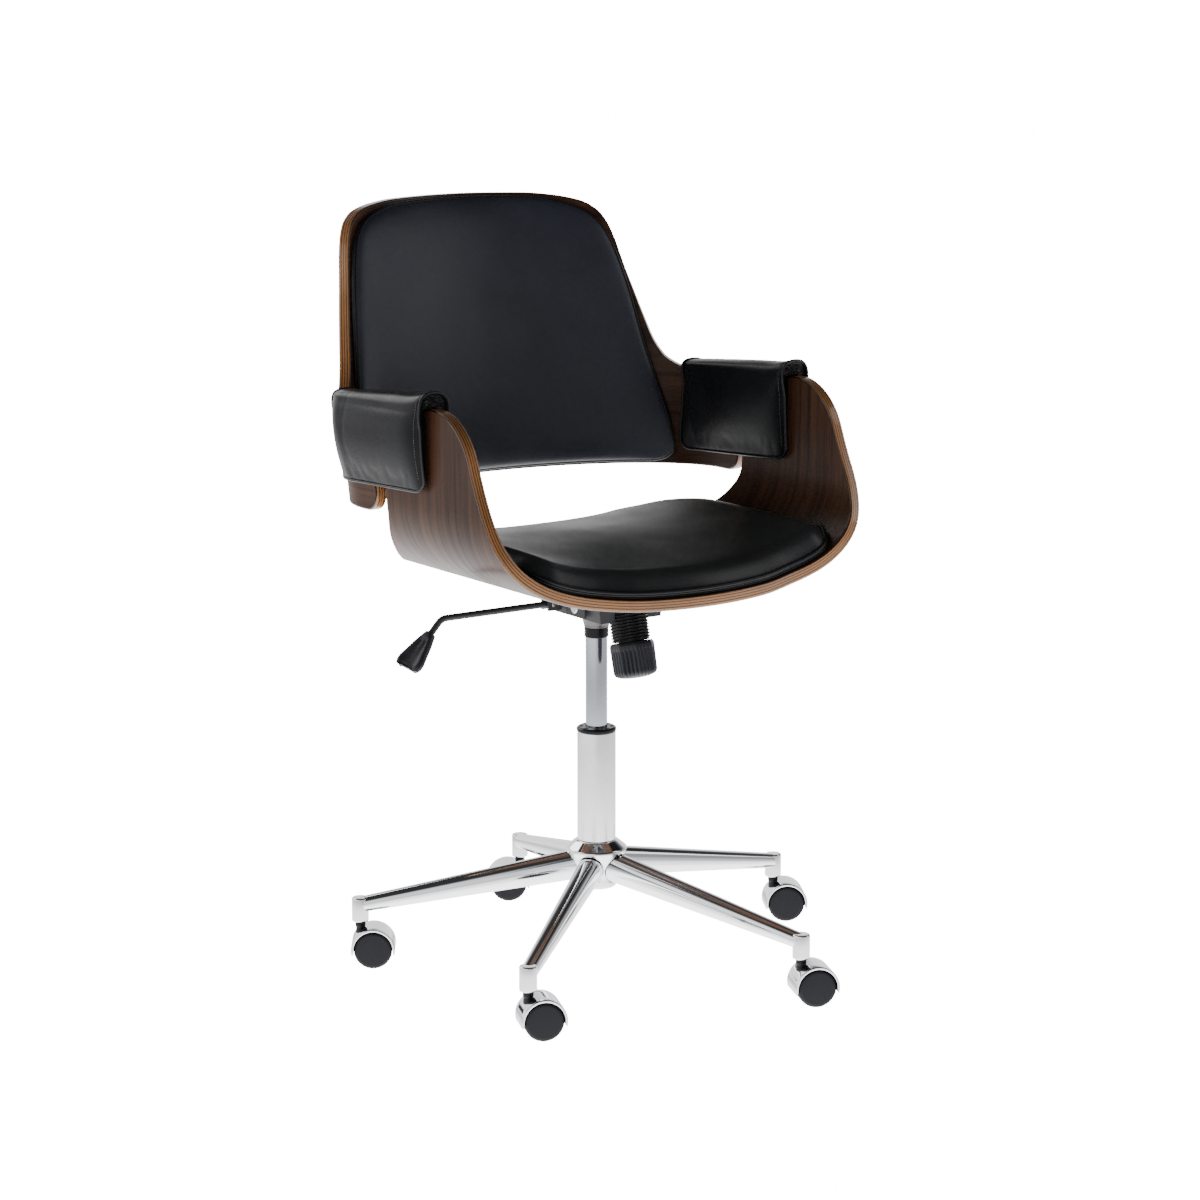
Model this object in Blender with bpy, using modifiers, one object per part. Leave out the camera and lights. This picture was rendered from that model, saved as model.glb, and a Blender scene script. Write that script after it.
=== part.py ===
"""Swivel office chair with a bent plywood shell, leather cushions and a five-leg chromed base.

Metres, +Z up, front of the chair towards -Y. Shapes are drawn with the column's axis on X = Y = 0,
and the whole chair is moved at the end so that the middle of its footprint is the origin.
"""

import math

import bmesh
import bpy
from mathutils import Matrix, Vector

# General fits
TOUCH = 0.0003  # gap left between pieces that touch
RUN = 0.0001  # radial play of a shaft that turns or slides
MM = 0.001

# Plywood
PLY = 0.015
PLY_ROUND = 0.002

# Seat shell: a U section bent from one sheet, outer face
SEAT_HALF = 0.284
SEAT_BOTTOM_Z = 0.515
SEAT_BEND_Z = 0.660
SEAT_POWER = 2.9
ARM_TOP_Z = 0.761
ARM_TOP_SLOPE = 0.118
ARM_FRONT_Y = -0.081
ARM_REAR_Y = 0.047
ARM_CORNER_R = 0.060

# Back shell: half an ellipse in plan, leaning back, inner face
WING_STEP = 0.004  # how far the wing's inner face stands outside the arm's
BACK_HALF = SEAT_HALF - PLY + WING_STEP
BACK_DEPTH = 0.152
BACK_START_Y = 0.099
BACK_LEAN = 0.194
BACK_BOTTOM_Z = 0.617
WING_FRONT_Y = ARM_REAR_Y + 0.009
WING_CORNER_R = 0.028

# Base
LEG_COUNT = 5
LEG_FIRST_DEG = 3.44
LEG_REACH = 0.308
SOCKET_R = 0.011
SOCKET_BOTTOM_Z = 0.060
SOCKET_TOP_Z = 0.092
STEM_R = 0.00545
HUB_BOTTOM_Z = 0.105
HUB_WIDE_R = 0.040
HUB_WIDE_Z = 0.157
HUB_TOP_Z = 0.168
LEG_ROOT_R = 0.0245
POCKET_REACH = 0.060  # how far out the cutter of a leg's pocket runs
TUBE_R = 0.025
TUBE_TOP_Z = 0.312
ROD_R = 0.014
ROD_NECK_R = 0.013
ROD_BOTTOM_Z = 0.215
GUIDE_DEPTH = 0.060

# Casters, drawn with the stem's axis at the origin and the wheels trailing towards +X
WHEEL_R = 0.025
WHEEL_WIDTH = 0.0175
WHEEL_INNER = 0.0042
TRAIL = 0.0165
AXLE_R = 0.003
HOOD_R = 0.0288
HOOD_T = 0.0013
HOOD_HALF = 0.022
HOOD_DROP_DEG = 13.0
CASTER_DEG = (-30.0, 150.0, -33.0, -22.0, -23.0)

# Mechanism
PIVOT_Y = -0.030
PIVOT_Z = 0.485
BOX_HALF = 0.050
BOX_FRONT_Y = -0.076
BOX_REAR_Y = 0.026
BOX_BOTTOM_Z = 0.4705
BOX_TOP_Z = 0.497
CONE_BOTTOM_Z = 0.4493
RING_BOTTOM_Z = 0.4362
PLATE_T = 0.003
FLANGE_T = 0.0027
PIN_R = 0.005
KNOB_Y = -0.0775
KNOB_Z = 0.442
KNOB_LEAN_DEG = 14.0
KNOB_R = 0.0294
KNOB_H = 0.0376
SLEEVE_R = 0.0255
SLEEVE_PITCH = 0.0039
SLEEVE_RIBS = 13
LEVER_X = -BOX_HALF - 0.012
LEVER_Y = 0.014
LEVER_Z = 0.4838
LEVER_R = 0.0042
LEVER_BEND_X = -0.218
LEVER_DROP_DEG = 47.0
LEVER_TURN_DEG = 16.0  # the paddle's broad face turned towards the front

# Cushions and pads
SEAT_PAD_T = 0.040
BACK_PAD_T = 0.036
PAD_EDGE_T = 0.010
ARM_PAD_Y = (-0.055, 0.161)
ARM_PAD_STEPS = 16
ARM_PAD_OUT = 0.0185
ARM_PAD_IN = 0.0145
ARM_PAD_UNDER = (0.7597, 0.7535)  # underside of the saddle's top, front and rear
ARM_PAD_RISE = (0.0182, 0.0100)
ARM_PAD_LOW_OUT = (SEAT_BEND_Z - 0.003, SEAT_BEND_Z - 0.011)  # lower edge outside, front and rear
ARM_PAD_LOW_IN = (SEAT_BEND_Z - 0.011, SEAT_BEND_Z - 0.023)
PAD_PLAY = 0.0009  # room over the flat facets of a curved shell

for stale in list(bpy.data.objects):
    bpy.data.objects.remove(stale, do_unlink=True)

scene = bpy.context.scene
chair = bpy.data.collections.new("office_chair")
cutters = bpy.data.collections.new("office_chair_cutters")
scene.collection.children.link(chair)
scene.collection.children.link(cutters)
cutters.hide_render = True


def material(name, colour, roughness, metallic=0.0):
    """One Principled material."""
    mat = bpy.data.materials.new(name)
    mat.use_nodes = True
    shader = mat.node_tree.nodes["Principled BSDF"]
    shader.inputs["Base Color"].default_value = (*colour, 1.0)
    shader.inputs["Roughness"].default_value = roughness
    shader.inputs["Metallic"].default_value = metallic
    mat.diffuse_color = (*colour, 1.0)
    return mat


WALNUT = ((0.17, 0.085, 0.045), 0.42, 0.0)
LEATHER = ((0.022, 0.023, 0.027), 0.45, 0.0)
CHROME = ((0.80, 0.81, 0.83), 0.08, 1.0)
BLACK_STEEL = ((0.035, 0.035, 0.038), 0.45, 0.3)
BLACK_PLASTIC = ((0.020, 0.020, 0.022), 0.50, 0.0)
WHEEL_PLASTIC = ((0.028, 0.027, 0.030), 0.60, 0.0)
ZINC = ((0.62, 0.62, 0.60), 0.35, 1.0)


def empty(name, where, parent=None, turn=(0.0, 0.0, 0.0)):
    """A joint or a grouping point. where is in the parent's frame."""
    point = bpy.data.objects.new(name, None)
    point.empty_display_size = 0.03
    chair.objects.link(point)
    point.location = where
    point.rotation_euler = turn
    point.parent = parent
    return point


def node(name, shape, look, parent, offset=(0.0, 0.0, 0.0), closed=True):
    """Turns a bmesh into a named object. offset is the parent's place in the frame that the shape is drawn in."""
    if closed:
        bmesh.ops.recalc_face_normals(shape, faces=shape.faces)
    mesh = bpy.data.meshes.new(name)
    shape.to_mesh(mesh)
    shape.free()
    mesh.transform(Matrix.Translation(-Vector(offset)))
    thing = bpy.data.objects.new(name, mesh)
    chair.objects.link(thing)
    thing.parent = parent
    mesh.materials.append(material(name, *look))
    return thing


def settle(thing):
    """Writes an object's modifiers into its mesh."""
    graph = bpy.context.evaluated_depsgraph_get()
    done = bpy.data.meshes.new_from_object(thing.evaluated_get(graph))
    thing.modifiers.clear()
    thing.data = done
    return thing


def combine(thing, shapes, operation):
    """Adds or cuts plain shapes with exact booleans. The shapes stay as wire cutters."""
    for number, shape in enumerate(shapes):
        bmesh.ops.recalc_face_normals(shape, faces=shape.faces)
        mesh = bpy.data.meshes.new(thing.name + "_tool")
        shape.to_mesh(mesh)
        shape.free()
        tool = bpy.data.objects.new(f"{thing.name}_tool_{operation.lower()}_{number}", mesh)
        cutters.objects.link(tool)
        tool.display_type = "WIRE"
        tool.hide_render = True
        tool.matrix_world = thing.matrix_world
        step = thing.modifiers.new(f"tool_{number}", "BOOLEAN")
        step.operation = operation
        step.solver = "EXACT"
        step.object = tool
    bpy.context.view_layer.update()
    for tool_step in thing.modifiers:
        if tool_step.type == "BOOLEAN":
            tool_step.object.matrix_world = thing.matrix_world
    bpy.context.view_layer.update()
    return settle(thing)


def lathe(profile, count, phase=0.0):
    """Turns a closed (radius, height) outline about Z. A radius of 0 becomes one point."""
    shape = bmesh.new()
    rings = []
    for radius, height in profile:
        if radius < 1e-6:
            rings.append([shape.verts.new((0.0, 0.0, height))])
            continue
        ring = []
        for k in range(count):
            angle = phase + 2.0 * math.pi * k / count
            ring.append(shape.verts.new((radius * math.cos(angle), radius * math.sin(angle), height)))
        rings.append(ring)
    for index, ring in enumerate(rings):
        other = rings[(index + 1) % len(rings)]
        if len(ring) == 1 and len(other) == 1:
            continue
        for k in range(count):
            corners = [ring[k % len(ring)], ring[(k + 1) % len(ring)], other[(k + 1) % len(other)], other[k % len(other)]]
            unique = list(dict.fromkeys(corners))
            if len(unique) > 2:
                shape.faces.new(unique)
    return shape


def loft(rings):
    """Joins equal rings of points into one closed body with flat ends."""
    shape = bmesh.new()
    rows = [[shape.verts.new(point) for point in ring] for ring in rings]
    count = len(rows[0])
    for low, high in zip(rows, rows[1:]):
        for k in range(count):
            shape.faces.new((low[k], low[(k + 1) % count], high[(k + 1) % count], high[k]))
    shape.faces.new(rows[0][::-1])
    shape.faces.new(rows[-1])
    return shape


def box(low, high):
    """A plain block between two corners."""
    shape = bmesh.new()
    bmesh.ops.create_cube(shape, size=1.0)
    size = Vector(high) - Vector(low)
    middle = (Vector(high) + Vector(low)) / 2.0
    bmesh.ops.scale(shape, vec=size, verts=shape.verts)
    bmesh.ops.translate(shape, vec=middle, verts=shape.verts)
    return shape


def turned(shape, matrix):
    """Moves a bmesh by a matrix."""
    bmesh.ops.transform(shape, matrix=matrix, verts=shape.verts)
    return shape


def rod_along(axis, centre, radius, low, high, count):
    """A cylinder along X or Y, between two values of that axis, through centre."""
    shape = lathe([(0.0, low), (radius, low), (radius, high), (0.0, high)], count, math.pi / count)
    if axis == "X":
        turn = Matrix.Rotation(math.pi / 2.0, 4, "Y")
    else:
        turn = Matrix.Rotation(-math.pi / 2.0, 4, "X")
    return turned(shape, Matrix.Translation(centre) @ turn)


def squircle(width, height, power, count):
    """Points of a rounded outline, width by height, about the origin."""
    points = []
    for k in range(count):
        angle = 2.0 * math.pi * (k + 0.5) / count
        c, s = math.cos(angle), math.sin(angle)
        points.append((
            width / 2.0 * math.copysign(abs(c) ** (2.0 / power), c),
            height / 2.0 * math.copysign(abs(s) ** (2.0 / power), s),
        ))
    return points


def smooth(knots, t):
    """A smooth curve through a few (t, value) knots, level at its start and flat past the ends, with no overshoot."""
    if t <= knots[0][0]:
        return knots[0][1]
    if t >= knots[-1][0]:
        return knots[-1][1]
    slopes = [(b[1] - a[1]) / (b[0] - a[0]) for a, b in zip(knots, knots[1:])]
    tangents = [0.0]
    for a, b in zip(slopes, slopes[1:]):
        tangents.append(0.0 if a * b <= 0.0 else 2.0 * a * b / (a + b))
    tangents.append(slopes[-1])
    for i, (a, b) in enumerate(zip(knots, knots[1:])):
        if t <= b[0]:
            width = b[0] - a[0]
            u = (t - a[0]) / width
            return (
                a[1] * (2 * u**3 - 3 * u**2 + 1)
                + b[1] * (3 * u**2 - 2 * u**3)
                + width * tangents[i] * (u**3 - 2 * u**2 + u)
                + width * tangents[i + 1] * (u**3 - u**2)
            )
    return knots[-1][1]


class Section:
    """A flat curve measured by its own length, from the chair's middle out to one side."""

    def __init__(self, points):
        self.points = [Vector(p) for p in points]
        self.lengths = [0.0]
        for a, b in zip(self.points, self.points[1:]):
            self.lengths.append(self.lengths[-1] + (b - a).length)
        self.total = self.lengths[-1]

    def at(self, s):
        """The point and the outward direction at a length. Negative lengths are the mirrored side."""
        side = -1.0 if s < 0.0 else 1.0
        s = min(abs(s), self.total)
        for i in range(len(self.points) - 1):
            if s <= self.lengths[i + 1] or i == len(self.points) - 2:
                a, b = self.points[i], self.points[i + 1]
                step = (b - a).normalized()
                point = a + step * (s - self.lengths[i])
                return Vector((side * point.x, point.y)), Vector((side * step.y, -step.x))
        return self.points[-1], Vector((side, 0.0))

    def length_at_x(self, x):
        """The length at which the curve first reaches a distance x from the middle."""
        for i, (a, b) in enumerate(zip(self.points, self.points[1:])):
            if b.x >= x:
                return self.lengths[i] + (x - a.x) / (b.x - a.x) * (self.lengths[i + 1] - self.lengths[i])
        return self.total


def spread(total, dense_from, dense_to, step, dense_step):
    """Distances from 0 to total, closer together in one stretch."""
    marks = [0.0]
    while marks[-1] < total - 1e-6:
        here = marks[-1]
        size = dense_step if dense_from <= here < dense_to else step
        marks.append(min(total, here + size))
    if marks[-1] - marks[-2] < dense_step * 0.5:
        marks.pop(-2)
    return [-m for m in reversed(marks[1:])] + marks


def sheet(name, columns, rows, place, look, thickness_offset):
    """A bent plywood sheet: a grid placed by a formula, then thickened and rounded at its edges.

    The grid's faces look out of the chair, so a thickness offset of -1 grows inwards and 1 outwards.
    """
    shape = bmesh.new()
    grid = [[shape.verts.new(place(s, v / rows)) for v in range(rows + 1)] for s in columns]
    for left, right in zip(grid, grid[1:]):
        for v in range(rows):
            shape.faces.new((left[v], left[v + 1], right[v + 1], right[v]))
    thing = node(name, shape, look, seat_group, seat_origin, closed=False)
    skin = thing.modifiers.new("thickness", "SOLIDIFY")
    skin.thickness = PLY
    skin.offset = thickness_offset
    skin.use_even_offset = True
    edge = thing.modifiers.new("rounded_edges", "BEVEL")
    edge.width = PLY_ROUND
    edge.segments = 2
    edge.limit_method = "ANGLE"
    edge.angle_limit = math.radians(55.0)
    return settle(thing)


# Joint frames
root = empty("chair_frame", (0.0, 0.0, 0.0))
lift = empty("lift_joint", (0.0, 0.0, ROD_BOTTOM_Z), root)
swivel = empty("swivel_joint", (0.0, 0.0, CONE_BOTTOM_Z - ROD_BOTTOM_Z), lift)
swivel_origin = (0.0, 0.0, CONE_BOTTOM_Z)
seat_origin = (0.0, PIVOT_Y, PIVOT_Z)
seat_group = empty("tilt_joint", (0.0, PIVOT_Y, PIVOT_Z - CONE_BOTTOM_Z), swivel)

# Base: hub, legs and the fixed tube of the column


def leg_ring(reach, grow):
    """One cross-section of a leg, at a distance from the column's axis."""
    t = (reach - LEG_ROOT_R) / (LEG_REACH - LEG_ROOT_R)
    width = 0.030 + (0.020 - 0.030) * t + 2.0 * grow
    height = 0.040 + (0.020 - 0.040) * t + 2.0 * grow
    middle = 0.134 + (0.082 - 0.134) * t
    return [(reach, y, middle + z) for y, z in squircle(width, height, 2.5, 16)]


hub_outline = [
    (ROD_R + 0.0015, HUB_TOP_Z),
    (TUBE_R + 0.001, HUB_TOP_Z),
    (HUB_WIDE_R, HUB_WIDE_Z),
    (HUB_WIDE_R - 0.0015, HUB_WIDE_Z - 0.006),
    (0.034, 0.143),
    (0.029, 0.132),
    (0.0268, 0.119),
    (0.026, HUB_BOTTOM_Z + 0.001),
    (0.025, HUB_BOTTOM_Z),
    (ROD_R + 0.0015, HUB_BOTTOM_Z),
]
hub = node("base_hub", lathe(hub_outline, 36), CHROME, root)
pockets = []
for k in range(LEG_COUNT):
    turn = Matrix.Rotation(math.radians(LEG_FIRST_DEG + 72.0 * k), 4, "Z")
    pocket = loft([leg_ring(LEG_ROOT_R - TOUCH, 0.0008), leg_ring(POCKET_REACH, 0.0008)])
    pockets.append(turned(pocket, turn))
combine(hub, pockets, "DIFFERENCE")

for k in range(LEG_COUNT):
    angle = math.radians(LEG_FIRST_DEG + 72.0 * k)
    leg_frame = empty(f"leg_{k + 1}_frame", (0.0, 0.0, 0.0), root, (0.0, 0.0, angle))
    stations = (LEG_ROOT_R, 0.160, LEG_REACH)
    leg = node(f"base_leg_{k + 1}", loft([leg_ring(r, 0.0) for r in stations]), CHROME, leg_frame)
    socket = lathe(
        [
            (0.0, SOCKET_TOP_Z),
            (SOCKET_R - 0.001, SOCKET_TOP_Z),
            (SOCKET_R, SOCKET_TOP_Z - 0.001),
            (SOCKET_R, SOCKET_BOTTOM_Z + 0.001),
            (SOCKET_R - 0.001, SOCKET_BOTTOM_Z),
            (0.0, SOCKET_BOTTOM_Z),
        ],
        24,
    )
    bpy.context.view_layer.update()
    combine(leg, [turned(socket, Matrix.Translation((LEG_REACH, 0.0, 0.0)))], "UNION")
    bore = lathe(
        [
            (0.0, SOCKET_TOP_Z - 0.004),
            (STEM_R + RUN, SOCKET_TOP_Z - 0.004),
            (STEM_R + RUN, SOCKET_BOTTOM_Z - 0.005),
            (0.0, SOCKET_BOTTOM_Z - 0.005),
        ],
        24,
    )
    combine(leg, [turned(bore, Matrix.Translation((LEG_REACH, 0.0, 0.0)))], "DIFFERENCE")

tube_outline = [
    (TUBE_R - 0.0025, TUBE_TOP_Z),
    (TUBE_R - 0.0005, TUBE_TOP_Z),
    (TUBE_R, TUBE_TOP_Z - 0.0005),
    (TUBE_R, HUB_TOP_Z + TOUCH),
    (TUBE_R - 0.0025, HUB_TOP_Z + TOUCH),
]
node("column_tube", lathe(tube_outline, 40), CHROME, root)
guide_outline = [
    (ROD_R + RUN, TUBE_TOP_Z + 0.006),
    (TUBE_R - 0.001, TUBE_TOP_Z + 0.006),
    (TUBE_R + 0.0008, TUBE_TOP_Z + 0.0045),
    (TUBE_R + 0.0008, TUBE_TOP_Z + TOUCH),
    (TUBE_R - 0.0025 - TOUCH, TUBE_TOP_Z + TOUCH),
    (TUBE_R - 0.0025 - TOUCH, TUBE_TOP_Z - GUIDE_DEPTH),
    (ROD_R + RUN, TUBE_TOP_Z - GUIDE_DEPTH),
]
node("column_guide", lathe(guide_outline, 40), BLACK_PLASTIC, root)

# Column rod, which slides in the guide
rod_top_z = BOX_TOP_Z - 0.010
rod_outline = [
    (0.0, rod_top_z),
    (ROD_NECK_R - 0.001, rod_top_z),
    (ROD_NECK_R, rod_top_z - 0.001),
    (ROD_NECK_R, CONE_BOTTOM_Z - TOUCH),
    (ROD_R, CONE_BOTTOM_Z - TOUCH),
    (ROD_R, ROD_BOTTOM_Z),
    (0.0, ROD_BOTTOM_Z),
]
node("column_rod", lathe(rod_outline, 40), CHROME, lift, (0.0, 0.0, ROD_BOTTOM_Z))

# Casters


def arc_band(outer, inner, half, drop_deg, count):
    """A half-round band over the wheels, its axis along Y through the origin."""
    rings = []
    for k in range(count + 1):
        angle = math.radians(-drop_deg + (180.0 + 2.0 * drop_deg) * k / count)
        c, s = math.cos(angle), math.sin(angle)
        rings.append([
            (outer * c, -half, outer * s),
            (outer * c, half, outer * s),
            (inner * c, half, inner * s),
            (inner * c, -half, inner * s),
        ])
    return loft(rings)


def stub(radius, low, high, count):
    """A cylinder on the stem's axis."""
    return lathe([(0.0, high), (radius, high), (radius, low), (0.0, low)], count, math.pi / count)


wheel_flat = WHEEL_R / math.cos(math.pi / 28)
wheel_outline = [
    (0.0, WHEEL_WIDTH),
    (0.016, WHEEL_WIDTH - 0.0002),
    (wheel_flat - 0.0022, WHEEL_WIDTH - 0.0012),
    (wheel_flat, WHEEL_WIDTH - 0.0040),
    (wheel_flat, 0.0),
    (AXLE_R + RUN, 0.0),
    (AXLE_R + RUN, WHEEL_WIDTH - 0.0045),
    (0.0, WHEEL_WIDTH - 0.0045),
]
for k in range(LEG_COUNT):
    angle = math.radians(LEG_FIRST_DEG + 72.0 * k)
    name = f"caster_{k + 1}"
    place = (LEG_REACH * math.cos(angle), LEG_REACH * math.sin(angle), 0.0)
    turn = (0.0, 0.0, math.radians(CASTER_DEG[k]))
    pivot = empty(name + "_swivel", place, root, turn)
    axle_frame = empty(name + "_axle_line", (TRAIL, 0.0, WHEEL_R), pivot)
    bpy.context.view_layer.update()
    over_wheel = Matrix.Translation((TRAIL, 0.0, WHEEL_R))
    liner = HOOD_R - HOOD_T - TOUCH
    body = node(name + "_body", stub(0.0062, 0.040, SOCKET_BOTTOM_Z - TOUCH, 16), BLACK_PLASTIC, pivot)
    web = turned(arc_band(liner - 0.0004, 0.0042, 0.0036, HOOD_DROP_DEG - 4.0, 9), over_wheel)
    rim = turned(arc_band(liner, liner - 0.0012, HOOD_HALF - 0.001, HOOD_DROP_DEG - 2.0, 12), over_wheel)
    ear = turned(rod_along("Y", (0.0, 0.0, 0.0), 0.008, -0.0039, 0.0039, 16), over_wheel)
    stem = stub(STEM_R, 0.050, SOCKET_TOP_Z - 0.0055, 16)
    combine(body, [web, rim, ear, stem], "UNION")
    axle_hole = turned(rod_along("Y", (0.0, 0.0, 0.0), AXLE_R + TOUCH, -0.01, 0.01, 16), over_wheel)
    wells = []
    for side in (-1.0, 1.0):
        ends = sorted((side * 0.0039, side * (HOOD_HALF + 0.004)))
        wells.append(turned(rod_along("Y", (0.0, 0.0, 0.0), WHEEL_R + 0.0006, ends[0], ends[1], 28), over_wheel))
    combine(body, [axle_hole, *wells], "DIFFERENCE")
    hood_shape = turned(arc_band(HOOD_R, HOOD_R - HOOD_T, HOOD_HALF, HOOD_DROP_DEG, 16), over_wheel)
    hood = node(name + "_hood", hood_shape, CHROME, pivot)
    combine(hood, [stub(0.0062 + TOUCH, 0.030, 0.070, 16)], "DIFFERENCE")
    pin = rod_along("Y", (0.0, 0.0, 0.0), AXLE_R, -0.0165, 0.0165, 16)
    node(name + "_axle", pin, ZINC, axle_frame)
    for side, label in ((-1.0, "a"), (1.0, "b")):
        wheel = lathe(wheel_outline, 28, math.pi / 28)
        wheel = turned(wheel, Matrix.Translation((0.0, 0.0, WHEEL_INNER)))
        wheel = turned(wheel, Matrix.Rotation(-side * math.pi / 2.0, 4, "X"))
        node(f"{name}_wheel_{label}", wheel, WHEEL_PLASTIC, axle_frame)

# Mechanism: box with its cone, ring, threaded sleeve, knob, lever and its bracket
knob_axis = Matrix.Translation((0.0, KNOB_Y, KNOB_Z)) @ Matrix.Rotation(-math.radians(KNOB_LEAN_DEG), 4, "X")
mech = node(
    "mechanism_box",
    box((-BOX_HALF, BOX_FRONT_Y, BOX_BOTTOM_Z), (BOX_HALF, BOX_REAR_Y, BOX_TOP_Z)),
    BLACK_STEEL,
    swivel,
    swivel_origin,
)
lower = [v for v in mech.data.vertices if v.co.z + CONE_BOTTOM_Z < BOX_BOTTOM_Z + 0.001]
for v in lower:
    v.co.x *= 0.93
bpy.context.view_layer.update()
shift_up = Matrix.Translation(-Vector(swivel_origin))
cone = lathe(
    [
        (0.0, BOX_BOTTOM_Z + 0.004),
        (0.030, BOX_BOTTOM_Z + 0.004),
        (0.030, BOX_BOTTOM_Z - 0.0005),
        (0.0225, 0.4655),
        (0.0185, 0.459),
        (0.0165, 0.453),
        (0.0160, CONE_BOTTOM_Z),
        (0.0, CONE_BOTTOM_Z),
    ],
    32,
)
stops = []
for side in (-1.0, 1.0):
    low = min(side * 0.030, side * 0.046)
    high = max(side * 0.030, side * 0.046)
    stops.append(turned(
        box((low, BOX_FRONT_Y + 0.002, BOX_TOP_Z - 0.002), (high, BOX_FRONT_Y + 0.014, SEAT_BOTTOM_Z - PLATE_T - 2 * TOUCH)),
        shift_up,
    ))
combine(mech, [turned(cone, shift_up), *stops], "UNION")
bore = lathe([(0.0, 0.489), (ROD_NECK_R + RUN, 0.489), (ROD_NECK_R + RUN, 0.440), (0.0, 0.440)], 40)
sleeve_way = lathe([(0.0, 0.090), (SLEEVE_R + TOUCH, 0.090), (SLEEVE_R + TOUCH, -0.040), (0.0, -0.040)], 40)
pin_way = rod_along("X", (0.0, PIVOT_Y, PIVOT_Z), PIN_R + RUN, -0.08, 0.08, 24)
combine(
    mech,
    [turned(bore, shift_up), turned(sleeve_way, shift_up @ knob_axis), turned(pin_way, shift_up)],
    "DIFFERENCE",
)

ring_outline = [
    (ROD_R + RUN, CONE_BOTTOM_Z - TOUCH),
    (0.0150, CONE_BOTTOM_Z - TOUCH),
    (0.0156, CONE_BOTTOM_Z - 0.001),
    (0.0156, RING_BOTTOM_Z + 0.0006),
    (0.0150, RING_BOTTOM_Z),
    (ROD_R + RUN, RING_BOTTOM_Z),
]
node("column_top_ring", lathe(ring_outline, 32), BLACK_PLASTIC, swivel, swivel_origin)

knob_group = empty(
    "knob_joint",
    (0.0, KNOB_Y, KNOB_Z - CONE_BOTTOM_Z),
    swivel,
    (-math.radians(KNOB_LEAN_DEG), 0.0, 0.0),
)
sleeve_top = SLEEVE_RIBS * SLEEVE_PITCH + 0.0065
sleeve_outline = [(0.0, sleeve_top), (SLEEVE_R - 0.002, sleeve_top)]
for rib in range(SLEEVE_RIBS):
    z = sleeve_top - 0.003 - rib * SLEEVE_PITCH
    sleeve_outline += [(SLEEVE_R - 0.0022, z), (SLEEVE_R, z - SLEEVE_PITCH / 2.0)]
sleeve_outline += [(SLEEVE_R - 0.0022, 0.0028), (SLEEVE_R - 0.0022, 0.001), (0.007, 0.001), (0.007, -0.020), (0.0, -0.020)]
node("tension_sleeve", lathe(sleeve_outline, 24), BLACK_PLASTIC, knob_group)


def knob_ring(scale, z):
    """An octagon with three shallow flutes in each flat."""
    points = []
    for k in range(64):
        angle = 2.0 * math.pi * k / 64
        within = (angle + math.pi / 8.0) % (math.pi / 4.0) - math.pi / 8.0
        corner = KNOB_R * math.cos(math.pi / 8.0) / math.cos(within)
        flute = 0.0008 * (0.5 - 0.5 * math.cos(4.0 * 8.0 * angle))
        radius = (min(corner, KNOB_R - 0.0006) - flute) * scale
        points.append((radius * math.cos(angle), radius * math.sin(angle), z))
    return points


knob = node(
    "tension_knob",
    loft([
        knob_ring(0.93, 0.0),
        knob_ring(1.0, -0.003),
        knob_ring(0.985, -KNOB_H),
        knob_ring(0.93, -KNOB_H - 0.003),
        knob_ring(0.66, -KNOB_H - 0.0062),
        knob_ring(0.30, -KNOB_H - 0.0080),
    ]),
    BLACK_PLASTIC,
    knob_group,
)
bpy.context.view_layer.update()
knob_hole = lathe([(0.0, 0.002), (0.007 + RUN, 0.002), (0.007 + RUN, -0.0205), (0.0, -0.0205)], 32)
combine(knob, [knob_hole], "DIFFERENCE")

bracket = node(
    "lever_bracket",
    box((LEVER_X - 0.008, LEVER_Y - 0.009, LEVER_Z - 0.0075), (-BOX_HALF - TOUCH, LEVER_Y + 0.009, LEVER_Z + 0.008)),
    BLACK_STEEL,
    swivel,
    swivel_origin,
)
bpy.context.view_layer.update()
slot = box((LEVER_X - 0.02, LEVER_Y - 0.0055, LEVER_Z - 0.03), (LEVER_X + 0.0065, LEVER_Y + 0.0055, LEVER_Z + 0.03))
pin_hole = rod_along("Y", (LEVER_X, 0.0, LEVER_Z), 0.003 + RUN, LEVER_Y - 0.02, LEVER_Y + 0.02, 20)
combine(bracket, [turned(slot, shift_up), turned(pin_hole, shift_up)], "DIFFERENCE")

lever_origin = (LEVER_X, LEVER_Y, LEVER_Z)
lever_group = empty("lever_joint", (LEVER_X, LEVER_Y, LEVER_Z - CONE_BOTTOM_Z), swivel)
drop = math.radians(LEVER_DROP_DEG)
turn = math.radians(LEVER_TURN_DEG)
bend_r = 0.016
lever_rings = []


def lever_ring(x, z, tilt):
    """A round section of the lever rod, square to its run."""
    ring = []
    for k in range(14):
        angle = 2.0 * math.pi * k / 14
        across = LEVER_R * math.cos(angle)
        up = LEVER_R * math.sin(angle)
        ring.append((x - up * math.sin(tilt), LEVER_Y + across, z + up * math.cos(tilt)))
    return ring


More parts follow.
